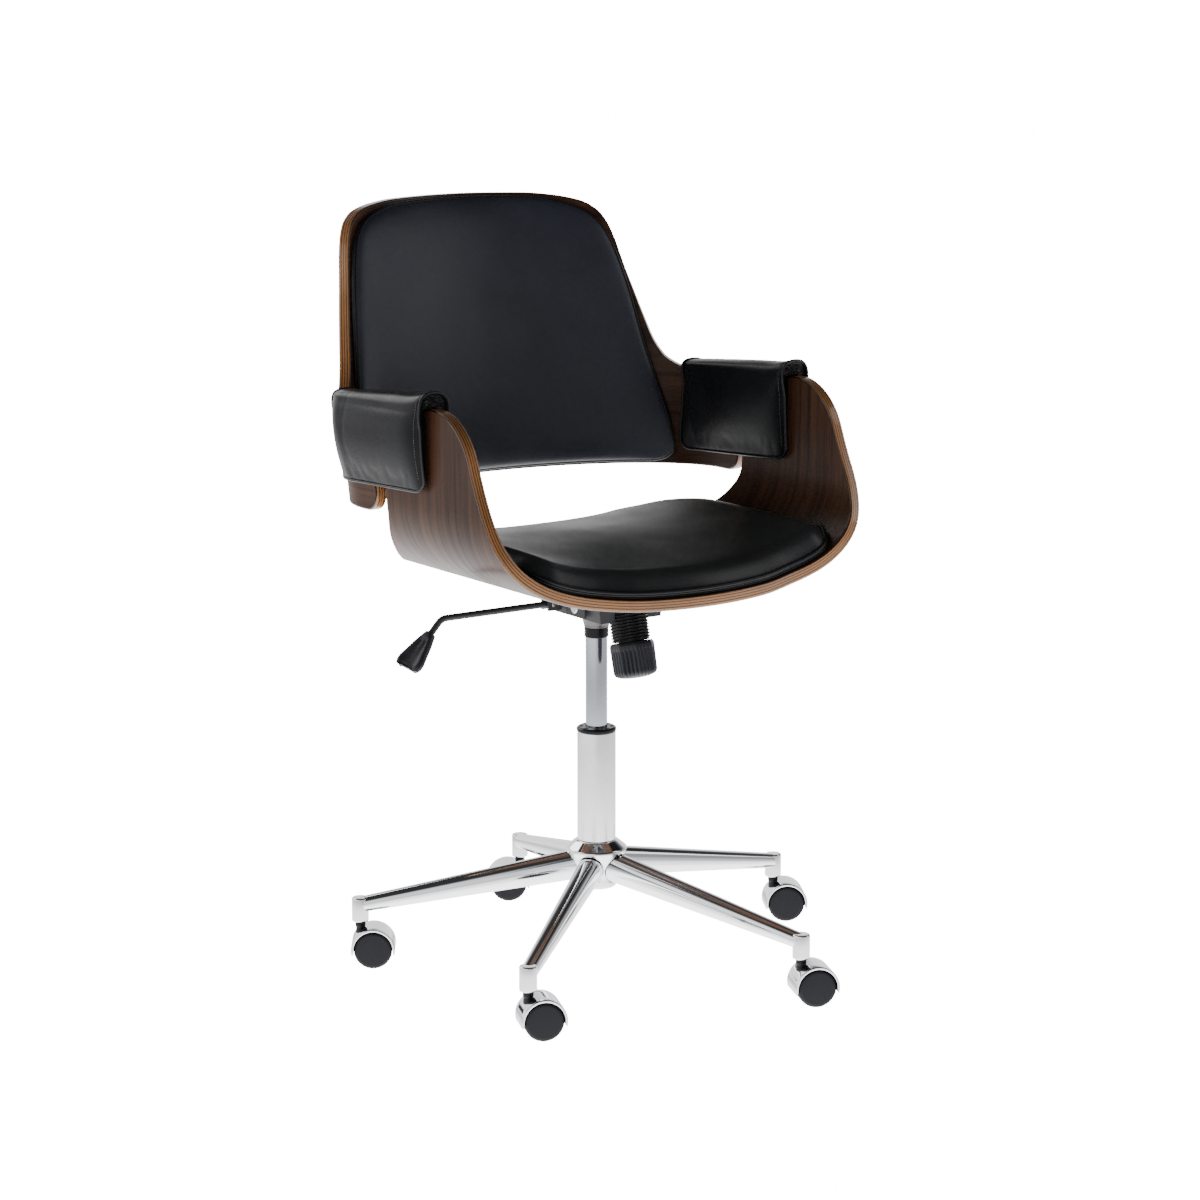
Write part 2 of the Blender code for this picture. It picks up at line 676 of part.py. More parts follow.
lever_rings.append(lever_ring(LEVER_X - 0.002, LEVER_Z, 0.0))
for k in range(6):
    tilt = drop * k / 5
    lever_rings.append(lever_ring(LEVER_BEND_X - bend_r * math.sin(tilt), LEVER_Z - bend_r * (1.0 - math.cos(tilt)), tilt))
bend_end = Vector((LEVER_BEND_X - bend_r * math.sin(drop), 0.0, LEVER_Z - bend_r * (1.0 - math.cos(drop))))
down = Vector((-math.cos(drop), 0.0, -math.sin(drop)))
end = bend_end + down * 0.030
lever_rings.append(lever_ring(end.x, end.z, drop))
lever = node("lever_rod", loft(lever_rings), BLACK_STEEL, lever_group, lever_origin)
bpy.context.view_layer.update()
lever_shift = Matrix.Translation(-Vector(lever_origin))
barrel = rod_along("Y", (LEVER_X, 0.0, LEVER_Z), 0.0056, LEVER_Y - 0.0052, LEVER_Y + 0.0052, 20)
trunnion = rod_along("Y", (LEVER_X, 0.0, LEVER_Z), 0.003, LEVER_Y - 0.0088, LEVER_Y + 0.0088, 20)
combine(lever, [turned(barrel, lever_shift), turned(trunnion, lever_shift)], "UNION")

handle_rings = []
for along, width, depth in (
    (0.006, 0.0125, 0.0120),
    (0.010, 0.0150, 0.0130),
    (0.020, 0.0235, 0.0125),
    (0.036, 0.0330, 0.0120),
    (0.052, 0.0410, 0.0115),
    (0.058, 0.0400, 0.0100),
    (0.062, 0.0330, 0.0070),
):
    centre = bend_end + down * (0.012 + along)
    ring = []
    for across, up in squircle(width, depth, 3.0, 20):
        rise = up * math.cos(turn) + across * math.sin(turn)
        aside = across * math.cos(turn) - up * math.sin(turn)
        ring.append((centre.x - rise * math.sin(drop), LEVER_Y + aside, centre.z + rise * math.cos(drop)))
    handle_rings.append(ring)
handle = node("lever_handle", loft(handle_rings), BLACK_PLASTIC, lever_group, lever_origin)
bpy.context.view_layer.update()
handle_bore = turned(
    lathe([(0.0, 0.0185), (LEVER_R + TOUCH, 0.0185), (LEVER_R + TOUCH, -0.010), (0.0, -0.010)], 14),
    Matrix.Translation(bend_end + down * 0.012 + Vector((0.0, LEVER_Y, 0.0)))
    @ Matrix.Rotation(-math.pi / 2.0 - drop, 4, "Y"),
)
combine(handle, [turned(handle_bore, lever_shift)], "DIFFERENCE")

# Seat carrier plate with its two flanges, and the tilt axle
plate_top = SEAT_BOTTOM_Z - TOUCH
plate = node(
    "seat_plate",
    box((-0.095, -0.125, plate_top - PLATE_T), (0.095, 0.085, plate_top)),
    BLACK_STEEL,
    seat_group,
    seat_origin,
)
bpy.context.view_layer.update()
seat_shift = Matrix.Translation(-Vector(seat_origin))
flanges = []
for side in (-1.0, 1.0):
    near = side * (BOX_HALF + TOUCH)
    far = side * (BOX_HALF + TOUCH + FLANGE_T)
    flange = box((min(near, far), -0.050, PIVOT_Z - 0.011), (max(near, far), -0.008, plate_top - 0.001))
    flanges.append(turned(flange, seat_shift))
combine(plate, flanges, "UNION")
pin_way = rod_along("X", (0.0, PIVOT_Y, PIVOT_Z), PIN_R + TOUCH, -0.08, 0.08, 24)
combine(plate, [turned(pin_way, seat_shift)], "DIFFERENCE")
head_in = BOX_HALF + FLANGE_T + 2 * TOUCH
axle_outline = [
    (0.0, head_in + 0.0032),
    (0.0062, head_in + 0.0032),
    (0.0072, head_in + 0.0022),
    (0.0072, head_in),
    (PIN_R, head_in),
    (PIN_R, -head_in),
    (0.0072, -head_in),
    (0.0072, -head_in - 0.0022),
    (0.0062, -head_in - 0.0032),
    (0.0, -head_in - 0.0032),
]
axle = turned(lathe(axle_outline, 16, math.pi / 16), Matrix.Rotation(math.pi / 2.0, 4, "Y"))
node("tilt_axle", axle, ZINC, seat_group)

# Plywood shells

half_points = []
for k in range(91):
    phi = math.radians(k)
    half_points.append((
        SEAT_HALF * math.sin(phi) ** (2.0 / SEAT_POWER),
        SEAT_BEND_Z - (SEAT_BEND_Z - SEAT_BOTTOM_Z) * max(0.0, math.cos(phi)) ** (2.0 / SEAT_POWER),
    ))
half_points.append((SEAT_HALF, ARM_TOP_Z))
seat_section = Section(half_points)
seat_end = seat_section.total
SEAT_FRONT = (
    (0.0, -0.240),
    (0.090, -0.2315),
    (0.150, -0.2175),
    (0.218, -0.210),
    (0.277, -0.200),
    (0.330, -0.180),
    (0.382, -0.154),
    (0.427, -0.1345),
    (seat_end, -0.1170),
)
SEAT_REAR = (
    (0.0, 0.190),
    (0.120, 0.183),
    (0.190, 0.154),
    (0.238, 0.101),
    (0.282, 0.066),
    (0.330, ARM_REAR_Y),
    (seat_end, ARM_REAR_Y),
)


def seat_front(s):
    """The sheet's front edge, with the rounded top corner of the arm."""
    s = abs(s)
    past = max(0.0, s - (seat_end - ARM_CORNER_R))
    return smooth(SEAT_FRONT, s) + ARM_CORNER_R - math.sqrt(max(0.0, ARM_CORNER_R**2 - past**2))


def seat_rear(s):
    return smooth(SEAT_REAR, abs(s))


def seat_point(s, y, inward=0.0):
    """A point of the seat shell, at a depth below its outer face."""
    flat, out = seat_section.at(s)
    x = flat.x - out.x * inward
    z = flat.y - out.y * inward
    rise = max(0.0, (z - 0.62) / (ARM_TOP_Z - 0.62))
    return Vector((x, y, z - ARM_TOP_SLOPE * (y - ARM_FRONT_Y) * rise**2))


def seat_blank(s, v):
    front = seat_front(s)
    return seat_point(s, front + (seat_rear(s) - front) * v)


seat_marks = spread(seat_end, 0.14, seat_end, 0.022, 0.0125)
sheet("seat_shell", seat_marks, 7, seat_blank, WALNUT, -1.0)

half_points = []
for k in range(91):
    theta = math.radians(k)
    half_points.append((BACK_HALF * math.sin(theta), BACK_START_Y + BACK_DEPTH * math.cos(theta)))
half_points.append((BACK_HALF, WING_FRONT_Y))
back_section = Section(half_points)
back_end = back_section.total
BACK_TOP = [
    (back_section.length_at_x(share * BACK_HALF), z)
    for share, z in (
        (0.0, 0.983),
        (0.366, 0.981),
        (0.513, 0.977),
        (0.638, 0.969),
        (0.704, 0.957),
        (0.740, 0.941),
        (0.766, 0.918),
        (0.789, 0.885),
        (0.817, 0.850),
        (0.846, 0.813),
        (0.872, 0.782),
        (0.909, 0.759),
        (0.953, 0.749),
    )
] + [(back_end - 0.040, 0.747), (back_end, 0.744)]


def back_bottom(s):
    """The sheet's level lower edge, with the rounded front corner of the wing."""
    past = max(0.0, abs(s) - (back_end - WING_CORNER_R))
    return BACK_BOTTOM_Z + WING_CORNER_R - math.sqrt(max(0.0, WING_CORNER_R**2 - past**2))


def back_point(s, z, inward=0.0):
    """A point of the back shell, at a distance in front of its inner face."""
    flat, out = back_section.at(s)
    return Vector((
        flat.x + out.x * inward,
        flat.y + out.y * inward + BACK_LEAN * (z - BACK_BOTTOM_Z),
        z,
    ))


def back_blank(s, v):
    low = back_bottom(s)
    return back_point(s, low + (smooth(BACK_TOP, abs(s)) - low) * v)


steep_from = back_section.length_at_x(0.55 * BACK_HALF)
steep_to = back_section.length_at_x(0.916 * BACK_HALF)
back_marks = spread(back_end, steep_from, steep_to, 0.016, 0.0085)
sheet("back_shell", back_marks, 8, back_blank, WALNUT, 1.0)

# Steel straps that join the two shells inside each arm, stepped because the wing stands a little outwards
strap_low = SEAT_BEND_Z + 0.012
strap_high = ARM_TOP_Z - 0.029
for side, label in ((-1.0, "right"), (1.0, "left")):
    inner = SEAT_HALF - PLY - TOUCH
    wing = BACK_HALF - TOUCH - 0.0004
    back_face = inner - 0.0030
    a = sorted((side * back_face, side * inner))
    strap = node(
        f"arm_strap_{label}",
        box((a[0], 0.012, strap_low), (a[1], ARM_REAR_Y + 0.0105, strap_high)),
        BLACK_STEEL,
        seat_group,
        seat_origin,
    )
    bpy.context.view_layer.update()
    b = sorted((side * back_face, side * wing))
    rear = box((b[0], ARM_REAR_Y + 0.0055, strap_low), (b[1], ARM_REAR_Y + 0.056, strap_high))
    combine(strap, [turned(rear, seat_shift)], "UNION")

# Cushions: a grid on the shell's face, swollen to a crown and drawn in at its edges


def crown(u, v, thick, edge, fullness):
    """Thickness over a cushion, u and v from -1 to 1. A greater fullness carries it further out to the sides."""
    swell = (1.0 - abs(u) ** fullness) * (1.0 - abs(v) ** 3.2)
    return edge + (thick - edge) * max(0.0, swell) ** 0.55


def cushion(name, columns, rows, place, thick, fullness):
    """place(u, v, lift) gives a point over the shell. Edge columns and rows are set closer together."""
    us = [math.sin(math.pi / 2.0 * (2.0 * i / columns - 1.0) * 0.999) for i in range(columns + 1)]
    vs = [math.sin(math.pi / 2.0 * (2.0 * j / rows - 1.0) * 0.999) for j in range(rows + 1)]
    shape = bmesh.new()
    upper = []
    lower_face = []
    for u in us:
        upper.append([shape.verts.new(place(u, v, crown(u, v, thick, PAD_EDGE_T, fullness))) for v in vs])
        lower_face.append([shape.verts.new(place(u * 0.992, v * 0.992, PAD_PLAY)) for v in vs])
    for grid, flip in ((upper, False), (lower_face, True)):
        for left, right in zip(grid, grid[1:]):
            for j in range(rows):
                corners = (left[j], left[j + 1], right[j + 1], right[j])
                shape.faces.new(corners[::-1] if flip else corners)
    rim_upper = upper[0] + [col[-1] for col in upper[1:]] + upper[-1][-2::-1] + [col[0] for col in upper[-2:0:-1]]
    rim_lower = (
        lower_face[0]
        + [col[-1] for col in lower_face[1:]]
        + lower_face[-1][-2::-1]
        + [col[0] for col in lower_face[-2:0:-1]]
    )
    count = len(rim_upper)
    for k in range(count):
        shape.faces.new((rim_upper[k], rim_upper[(k + 1) % count], rim_lower[(k + 1) % count], rim_lower[k]))
    return node(name, shape, LEATHER, seat_group, seat_origin)


SEAT_PAD_END = 0.258


def seat_pad_point(u, v, up):
    """Over the seat pan, from just behind the front edge to the rear, with rounded corners."""
    s = u * SEAT_PAD_END
    pull = 0.032 * max(0.0, (abs(u) - 0.80) / 0.20) ** 2.2
    front = seat_front(s) + 0.010 + pull
    rear = min(seat_rear(s) - 0.006, 0.172) - 1.9 * pull
    y = (front + rear) / 2.0 + (rear - front) / 2.0 * v
    return seat_point(s, y, PLY + up)


cushion("seat_cushion", 24, 18, seat_pad_point, SEAT_PAD_T, 4.6)

BACK_PAD_LOW = BACK_BOTTOM_Z + 0.006
BACK_PAD_HIGH = 0.977
BACK_PAD_SIDE = [
    (z, back_section.length_at_x(share * BACK_HALF))
    for z, share in (
        (0.624, 0.910),
        (0.668, 0.900),
        (0.728, 0.866),
        (0.781, 0.833),
        (0.847, 0.800),
        (0.885, 0.774),
        (0.905, 0.756),
        (0.933, 0.721),
        (0.950, 0.679),
        (0.962, 0.622),
        (0.970, 0.550),
        (0.977, 0.450),
    )
]


def back_pad_point(u, v, up):
    """Over the back, its sides running down just inside the shell's edge and then on to the wings."""
    t = (v + 1.0) / 2.0
    level = BACK_PAD_LOW + (BACK_PAD_HIGH - BACK_PAD_LOW) * t
    round_low = 0.010 * max(0.0, (-v - 0.90) / 0.10) ** 2.0
    s = u * (smooth(BACK_PAD_SIDE, level) - round_low)
    z = level - 0.005 * abs(u) ** 3 * t**3 + 0.006 * max(0.0, (abs(u) - 0.90) / 0.10) ** 2.0 * (1.0 - t) ** 3
    return back_point(s, z, up)


cushion("back_cushion", 24, 18, back_pad_point, BACK_PAD_T, 3.2)

# Arm pads: a saddle over each arm, following the curve of the wing


def wing_inner(y, z):
    """Inner face of the wing at a height, or of the strap in front of it."""
    past = max(0.0, y - BACK_LEAN * (z - BACK_BOTTOM_Z) - BACK_START_Y)
    curve = BACK_HALF * math.sqrt(max(0.0, 1.0 - (past / BACK_DEPTH) ** 2))
    play = PAD_PLAY * min(1.0, past / 0.010)
    return min(curve - play, SEAT_HALF - PLY - TOUCH - 0.0030) - TOUCH


def wing_outer(y, z):
    """Outer face of the wing at a height."""
    past = max(0.0, y - BACK_LEAN * (z - BACK_BOTTOM_Z) - BACK_START_Y)
    play = PAD_PLAY * min(1.0, past / 0.010)
    return (BACK_HALF + PLY) * math.sqrt(max(0.0, 1.0 - (past / (BACK_DEPTH + PLY)) ** 2)) + TOUCH + play


def arm_pad_ring(y, end):
    """One section of the saddle at a place along the arm. end runs from 0 in the middle to 1 at either end."""
    draw = 1.0 - 0.28 * end**6
    along = (y - ARM_PAD_Y[0]) / (ARM_PAD_Y[1] - ARM_PAD_Y[0])
    rounding = 0.014 * max(0.0, (end - 0.88) / 0.12) ** 2.0
    low_out = ARM_PAD_LOW_OUT[0] + (ARM_PAD_LOW_OUT[1] - ARM_PAD_LOW_OUT[0]) * along + rounding
    low_in = ARM_PAD_LOW_IN[0] + (ARM_PAD_LOW_IN[1] - ARM_PAD_LOW_IN[0]) * along + rounding
    under = ARM_PAD_UNDER[0] + (ARM_PAD_UNDER[1] - ARM_PAD_UNDER[0]) * along
    top = under + (ARM_PAD_RISE[0] + (ARM_PAD_RISE[1] - ARM_PAD_RISE[0]) * along) * (1.0 - 0.12 * end**4)
    steps = 9
    points = []
    for k in range(steps):
        t = k / (steps - 1)
        z = low_out + (under - 0.004 - low_out) * t
        swell = ARM_PAD_OUT * draw * (0.48 + 0.52 * math.sin(math.pi * min(1.0, t * 1.05)) ** 0.7)
        points.append((wing_outer(y, z) + swell, z))
    out_x, out_z = points[-1]
    in_x = wing_inner(y, out_z) - ARM_PAD_IN * draw
    middle = (out_x + in_x) / 2.0
    half = (out_x - in_x) / 2.0
    for k in range(1, 10):
        angle = math.pi * k / 10
        c, s = math.cos(angle), math.sin(angle)
        points.append((
            middle + half * math.copysign(abs(c) ** 0.68, c),
            out_z + (top - out_z) * abs(s) ** 0.68,
        ))
    for k in range(steps):
        t = 1.0 - k / (steps - 1)
        z = low_in + (under - 0.004 - low_in) * t
        swell = ARM_PAD_IN * draw * (0.45 + 0.55 * math.sin(math.pi / 2.0 * t))
        points.append((wing_inner(y, z) - swell, z))
    points.append((wing_inner(y, low_in), low_in - 0.0012))
    for k in range(5):
        z = low_in + (under - low_in) * k / 4
        points.append((wing_inner(y, z), z))
    for k in range(5):
        z = under + (low_out - under) * k / 4
        points.append((wing_outer(y, z), z))
    points.append((wing_outer(y, low_out) + 0.003, low_out - 0.0012))
    return points


for side, label in ((-1.0, "right"), (1.0, "left")):
    first, last = ARM_PAD_Y
    rings = []
    for k in range(ARM_PAD_STEPS + 1):
        u = math.sin(math.pi / 2.0 * (2.0 * k / ARM_PAD_STEPS - 1.0))
        y = (first + last) / 2.0 + (last - first) / 2.0 * u
        rings.append([(side * x, y, z) for x, z in arm_pad_ring(y, abs(u))])
    node(f"arm_pad_{label}", loft(rings), LEATHER, seat_group, seat_origin)

# The middle of the footprint goes to the origin
bpy.context.view_layer.update()
corners = [thing.matrix_world @ Vector(c) for thing in chair.objects if thing.type == "MESH" for c in thing.bound_box]
low = Vector((min(c.x for c in corners), min(c.y for c in corners), min(c.z for c in corners)))
high = Vector((max(c.x for c in corners), max(c.y for c in corners), max(c.z for c in corners)))
root.location = (-(low.x + high.x) / 2.0, -(low.y + high.y) / 2.0, 0.0)
bpy.context.view_layer.update()
print("column axis at", round(root.location.x, 5), round(root.location.y, 5), "size", [round(v, 4) for v in high - low], "lowest", low.z)
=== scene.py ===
"""Looks of the swivel office chair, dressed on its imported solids.

Shapes are drawn in the chair's own frame, with the column's axis on X = Y = 0, in metres, and are
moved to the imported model's frame when they become pieces.
"""

from math import atan2, copysign, cos, exp, hypot, pi, radians, sin, sqrt

import bmesh
import bpy
import numpy
from mathutils import Matrix, Vector, noise
from mathutils.bvhtree import BVHTree
from mathutils.kdtree import KDTree


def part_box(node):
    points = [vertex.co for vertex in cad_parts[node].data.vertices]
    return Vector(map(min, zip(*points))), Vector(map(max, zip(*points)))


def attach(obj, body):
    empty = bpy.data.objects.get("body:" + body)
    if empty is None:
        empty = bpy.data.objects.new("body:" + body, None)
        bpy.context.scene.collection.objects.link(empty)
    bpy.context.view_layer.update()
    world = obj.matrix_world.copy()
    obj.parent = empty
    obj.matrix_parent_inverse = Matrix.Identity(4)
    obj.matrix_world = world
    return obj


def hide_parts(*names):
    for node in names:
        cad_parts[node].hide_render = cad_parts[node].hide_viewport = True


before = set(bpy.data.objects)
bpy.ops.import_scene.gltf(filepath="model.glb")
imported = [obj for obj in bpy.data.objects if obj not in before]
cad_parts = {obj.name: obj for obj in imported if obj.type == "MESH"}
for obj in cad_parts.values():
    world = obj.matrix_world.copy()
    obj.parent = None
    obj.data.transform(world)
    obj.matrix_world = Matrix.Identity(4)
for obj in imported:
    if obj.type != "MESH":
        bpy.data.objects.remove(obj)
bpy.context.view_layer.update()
scene = bpy.context.scene
rod_low, rod_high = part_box("column_rod")
AXIS = Vector(((rod_low.x + rod_high.x) / 2.0, (rod_low.y + rod_high.y) / 2.0, 0.0))

# Named sizes, the same as the solids'
TOUCH = 0.0003
PLY = 0.015
PLY_ROUND = 0.002
SEAT_HALF = 0.284
SEAT_BOTTOM_Z = 0.515
SEAT_BEND_Z = 0.660
SEAT_POWER = 2.9
ARM_TOP_Z = 0.761
ARM_TOP_SLOPE = 0.118
ARM_FRONT_Y = -0.081
ARM_REAR_Y = 0.047
ARM_CORNER_R = 0.060
BACK_HALF = 0.273
BACK_DEPTH = 0.152
BACK_START_Y = 0.099
BACK_LEAN = 0.194
BACK_BOTTOM_Z = 0.617
WING_FRONT_Y = 0.056
WING_CORNER_R = 0.028
LEG_FIRST_DEG = 3.44
LEG_ROOT_R = 0.0245
LEG_REACH = 0.308
LEG_WIDTHS = (0.030, 0.020)
LEG_HEIGHTS = (0.040, 0.020)
LEG_MIDDLES = (0.134, 0.082)
SOCKET_R = 0.011
SOCKET_BOTTOM_Z = 0.060
SOCKET_TOP_Z = 0.092
TUBE_R = 0.025
TUBE_TOP_Z = 0.312
ROD_R = 0.014
CONE_BOTTOM_Z = 0.4493
CONE_TOP_Z = 0.4705
WHEEL_R = 0.025
WHEEL_WIDTH = 0.0175
WHEEL_INNER = 0.0042
TRAIL = 0.0165
HOOD_R = 0.0288
HOOD_T = 0.0013
HOOD_HALF = 0.022
HOOD_DROP_DEG = 13.0
CASTER_DEG = (-30.0, 150.0, -33.0, -22.0, -23.0)
KNOB_Y = -0.0775
KNOB_Z = 0.442
KNOB_LEAN_DEG = 14.0
KNOB_R = 0.0294
KNOB_H = 0.0376
SLEEVE_R = 0.0255
SLEEVE_PITCH = 0.0039
SLEEVE_TOP = 13 * SLEEVE_PITCH + 0.0065
LEVER_X = -0.062
LEVER_Y = 0.014
LEVER_Z = 0.4838
LEVER_BEND_X = -0.218
LEVER_DROP = radians(47.0)
LEVER_TURN = radians(16.0)
SEAT_PAD_END = 0.258
ARM_PAD_Y = (-0.055, 0.161)
PAD_PLAY = 0.0009
ARM_PAD_OUT = 0.0185
ARM_PAD_IN = 0.0145
ARM_PAD_UNDER = (0.7597, 0.7535)
ARM_PAD_RISE = (0.0172, 0.0072)
ARM_PAD_LOW_OUT = (0.657, 0.649)
ARM_PAD_LOW_IN = (0.649, 0.637)


# Materials


class Nodes:
    """A node tree and a short way to add nodes to it."""

    def __init__(self, tree):
        self.tree = tree

    def put(self, socket, value):
        """Links an output to a socket, or sets the socket's own value."""
        if isinstance(value, bpy.types.NodeSocket):
            self.tree.links.new(value, socket)
        else:
            socket.default_value = value

    def add(self, kind, out, *values, settings=None, **named):
        """Adds a node with values for its first sockets, or by their names, and gives one of its outputs."""
        node = self.tree.nodes.new("ShaderNode" + kind)
        for key, value in (settings or {}).items():
            setattr(node, key, value)
        for socket, value in zip(node.inputs, values):
            self.put(socket, value)
        for key, value in named.items():
            self.put(node.inputs[key], value)
        return node.outputs[out]

    def place(self, scale=(1.0, 1.0, 1.0), turn=(0.0, 0.0, 0.0)):
        """The piece's own coordinates, in metres, scaled."""
        return self.add("Mapping", "Vector", Vector=self.add("TexCoord", "Object"), Scale=scale, Rotation=turn)

    def noise(self, vector, scale, detail=3.0, rough=0.5, distortion=0.0):
        return self.add("TexNoise", "Fac", Vector=vector, Scale=scale, Detail=detail, Roughness=rough,
                        Distortion=distortion)

    def cells(self, vector, scale, feature="DISTANCE_TO_EDGE"):
        return self.add("TexVoronoi", "Distance", settings={"feature": feature}, Vector=vector, Scale=scale)

    def ramp(self, value, stops, blend="LINEAR"):
        out = self.add("ValToRGB", "Color", value)
        out.node.color_ramp.interpolation = blend
        bar = out.node.color_ramp.elements
        while len(bar) < len(stops):
            bar.new(0.5)
        for spot, (where, shade) in zip(bar, stops):
            spot.position = where
            spot.color = (*shade, 1.0) if isinstance(shade, tuple) else (shade, shade, shade, 1.0)
        return out

    def mix(self, factor, first, second):
        """The first colour multiplied by the second, as far as the factor says."""
        node = self.tree.nodes.new("ShaderNodeMix")
        node.data_type = "RGBA"
        node.blend_type = "MULTIPLY"
        for key, value in (("Factor", factor), ("A", first), ("B", second)):
            self.put([s for s in node.inputs if s.name == key and s.enabled][0], value)
        return [s for s in node.outputs if s.enabled][0]

    def math(self, kind, *values):
        return self.add("Math", "Value", *values, settings={"operation": kind})

    def range(self, *values):
        """A value carried from one span to another: value, low, high, new low, new high."""
        return self.add("MapRange", 0, *values)


class Look(Nodes):
    """A Principled material."""

    def __init__(self, name, colour, roughness, metallic=0.0, **more):
        self.mat = bpy.data.materials.new(name)
        self.mat.use_nodes = True
        super().__init__(self.mat.node_tree)
        self.shader = self.tree.nodes["Principled BSDF"].inputs
        more.update(Base_Color=(*colour, 1.0), Roughness=roughness, Metallic=metallic)
        for key, value in more.items():
            self.put(self.shader[key.replace("_", " ")], value)
        self.mat.diffuse_color = (*colour, 1.0)

    def bump(self, height, strength, distance):
        """Adds a bump over what the shader already has."""
        normal = self.shader["Normal"]
        below = {"Normal": normal.links[0].from_socket} if normal.is_linked else {}
        self.put(normal, self.add("Bump", "Normal", Strength=strength, Distance=distance, Height=height, **below))

    def colour(self, output):
        self.put(self.shader["Base Color"], output)

    def rough(self, output):
        self.put(self.shader["Roughness"], output)


def veneer(name, across, seed):
    """Oiled walnut veneer. across is the axis that crosses the grain, in the piece's own frame."""
    look = Look(name, (0.09, 0.045, 0.025), 0.36, Coat_Weight=0.08, Coat_Roughness=0.20, Specular_IOR_Level=0.08)
    stretch = [1.0, 1.0, 1.0]

    def grain(along, cross):
        scale = [along * s for s in stretch]
        scale["XYZ".index(across)] = cross
        return look.place(scale)

    broad = look.noise(grain(1.3, 17.0), 1.0, 4.0, 0.55, 0.9 + seed)
    lines = look.noise(grain(2.2, 105.0), 1.0, 5.0, 0.62, 0.5)
    pores = look.noise(grain(26.0, 950.0), 1.0, 2.0, 0.5)
    shade = look.ramp(broad, [(0.25, (0.018, 0.0076, 0.0040)), (0.45, (0.039, 0.0165, 0.0084)),
                              (0.60, (0.063, 0.0275, 0.0138)), (0.78, (0.034, 0.0142, 0.0074))])
    streak = look.ramp(lines, [(0.30, 0.34), (0.47, 0.88), (0.62, 1.14), (0.74, 0.72)])
    shade = look.mix(1.0, shade, streak)
    pore_dark = look.ramp(pores, [(0.33, 0.45), (0.44, 1.0)])
    shade = look.mix(0.75, shade, pore_dark)
    look.colour(shade)
    look.rough(look.range(lines, 0.3, 0.7, 0.40, 0.31))
    look.bump(pore_dark, 0.12, 0.0004)
    return look.mat


def ply_edge():
    """The cut edge of the sheet: pale and dark plies, by the attribute depth, 0 outside to 1 inside."""
    look = Look("ply_edge", (0.35, 0.18, 0.08), 0.34, Coat_Weight=0.85, Coat_Roughness=0.13, Specular_IOR_Level=0.3)
    depth = look.add("Attribute", "Fac", settings={"attribute_name": "depth"})
    waver = look.noise(look.place(), 30.0, 2.0)
    where = look.math("MULTIPLY_ADD", waver, 0.016, depth)
    bark = (0.050, 0.020, 0.008)
    rim = (0.034, 0.014, 0.006)
    pale = (0.36, 0.165, 0.058)
    warm = (0.27, 0.118, 0.040)
    tone = look.ramp(where, [
        (0.000, rim), (0.060, rim), (0.090, warm), (0.240, pale), (0.275, bark), (0.325, bark), (0.360, warm),
        (0.470, pale), (0.505, bark), (0.555, bark), (0.590, pale), (0.700, warm), (0.735, bark), (0.785, bark),
        (0.820, pale), (0.925, warm), (0.955, rim), (1.0, rim),
    ])
    fleck = look.noise(look.place(), 420.0, 3.0, 0.6)
    tone = look.mix(0.35, tone, look.ramp(fleck, [(0.35, 0.70), (0.6, 1.10)]))
    drift = look.noise(look.place(), 14.0, 2.0)
    tone = look.mix(0.7, tone, look.ramp(drift, [(0.3, 0.78), (0.7, 1.16)]))
    look.colour(tone)
    look.rough(look.range(fleck, 0.3, 0.7, 0.40, 0.28))
    look.bump(fleck, 0.08, 0.0003)
    return look.mat


def leather(name, colour, roughness, crease=0.25, shine=0.22):
    """Smooth black leather with a fine grain, faint creases and rubbed patches here and there."""
    look = Look(name, colour, roughness, Specular_IOR_Level=shine, Sheen_Weight=0.02, Sheen_Roughness=0.45)
    spot = look.place()
    grain = look.cells(spot, 620.0)
    grain = look.ramp(grain, [(0.0, 0.0), (0.12, 0.75), (0.5, 1.0)])
    fine = look.noise(spot, 1500.0, 2.0)
    cloud = look.noise(spot, 9.0, 4.0, 0.55)
    folds = look.noise(look.place((1.0, 1.0, 2.2)), 34.0, 4.0, 0.6, 0.6)
    warm = tuple(c * 1.45 + 0.002 for c in colour)
    tone = look.ramp(cloud, [(0.3, colour), (0.72, warm)])
    # Painted shade: the colour darkens along the edges of the grain's cells, the creases that the grain bump sinks.
    tone = look.mix(0.35, tone, look.ramp(grain, [(0.0, 0.45), (1.0, 1.0)]))
    look.colour(tone)
    worn = look.math("ADD", cloud, look.math("MULTIPLY", fine, 0.25))
    look.rough(look.range(worn, 0.4, 0.9, roughness - 0.06, roughness + 0.07))
    look.bump(folds, crease, 0.0007)
    look.bump(grain, 0.16, 0.00022)
    look.bump(fine, 0.08, 0.0001)
    return look.mat


def thread():
    """Twisted black sewing thread."""
    look = Look("thread", (0.020, 0.020, 0.023), 0.55, Sheen_Weight=0.2)
    twist = look.add("TexWave", "Fac", Vector=look.place((1.0, 0.6, 0.8)), Scale=900.0)
    look.bump(twist, 0.5, 0.0002)
    # Painted shade and highlight: the colour darkens in the twist's grooves and lightens on its ridges, by the same
    # wave as the bump.
    look.colour(look.ramp(twist, [(0.0, (0.010, 0.010, 0.011)), (1.0, (0.034, 0.034, 0.038))]))
    return look.mat


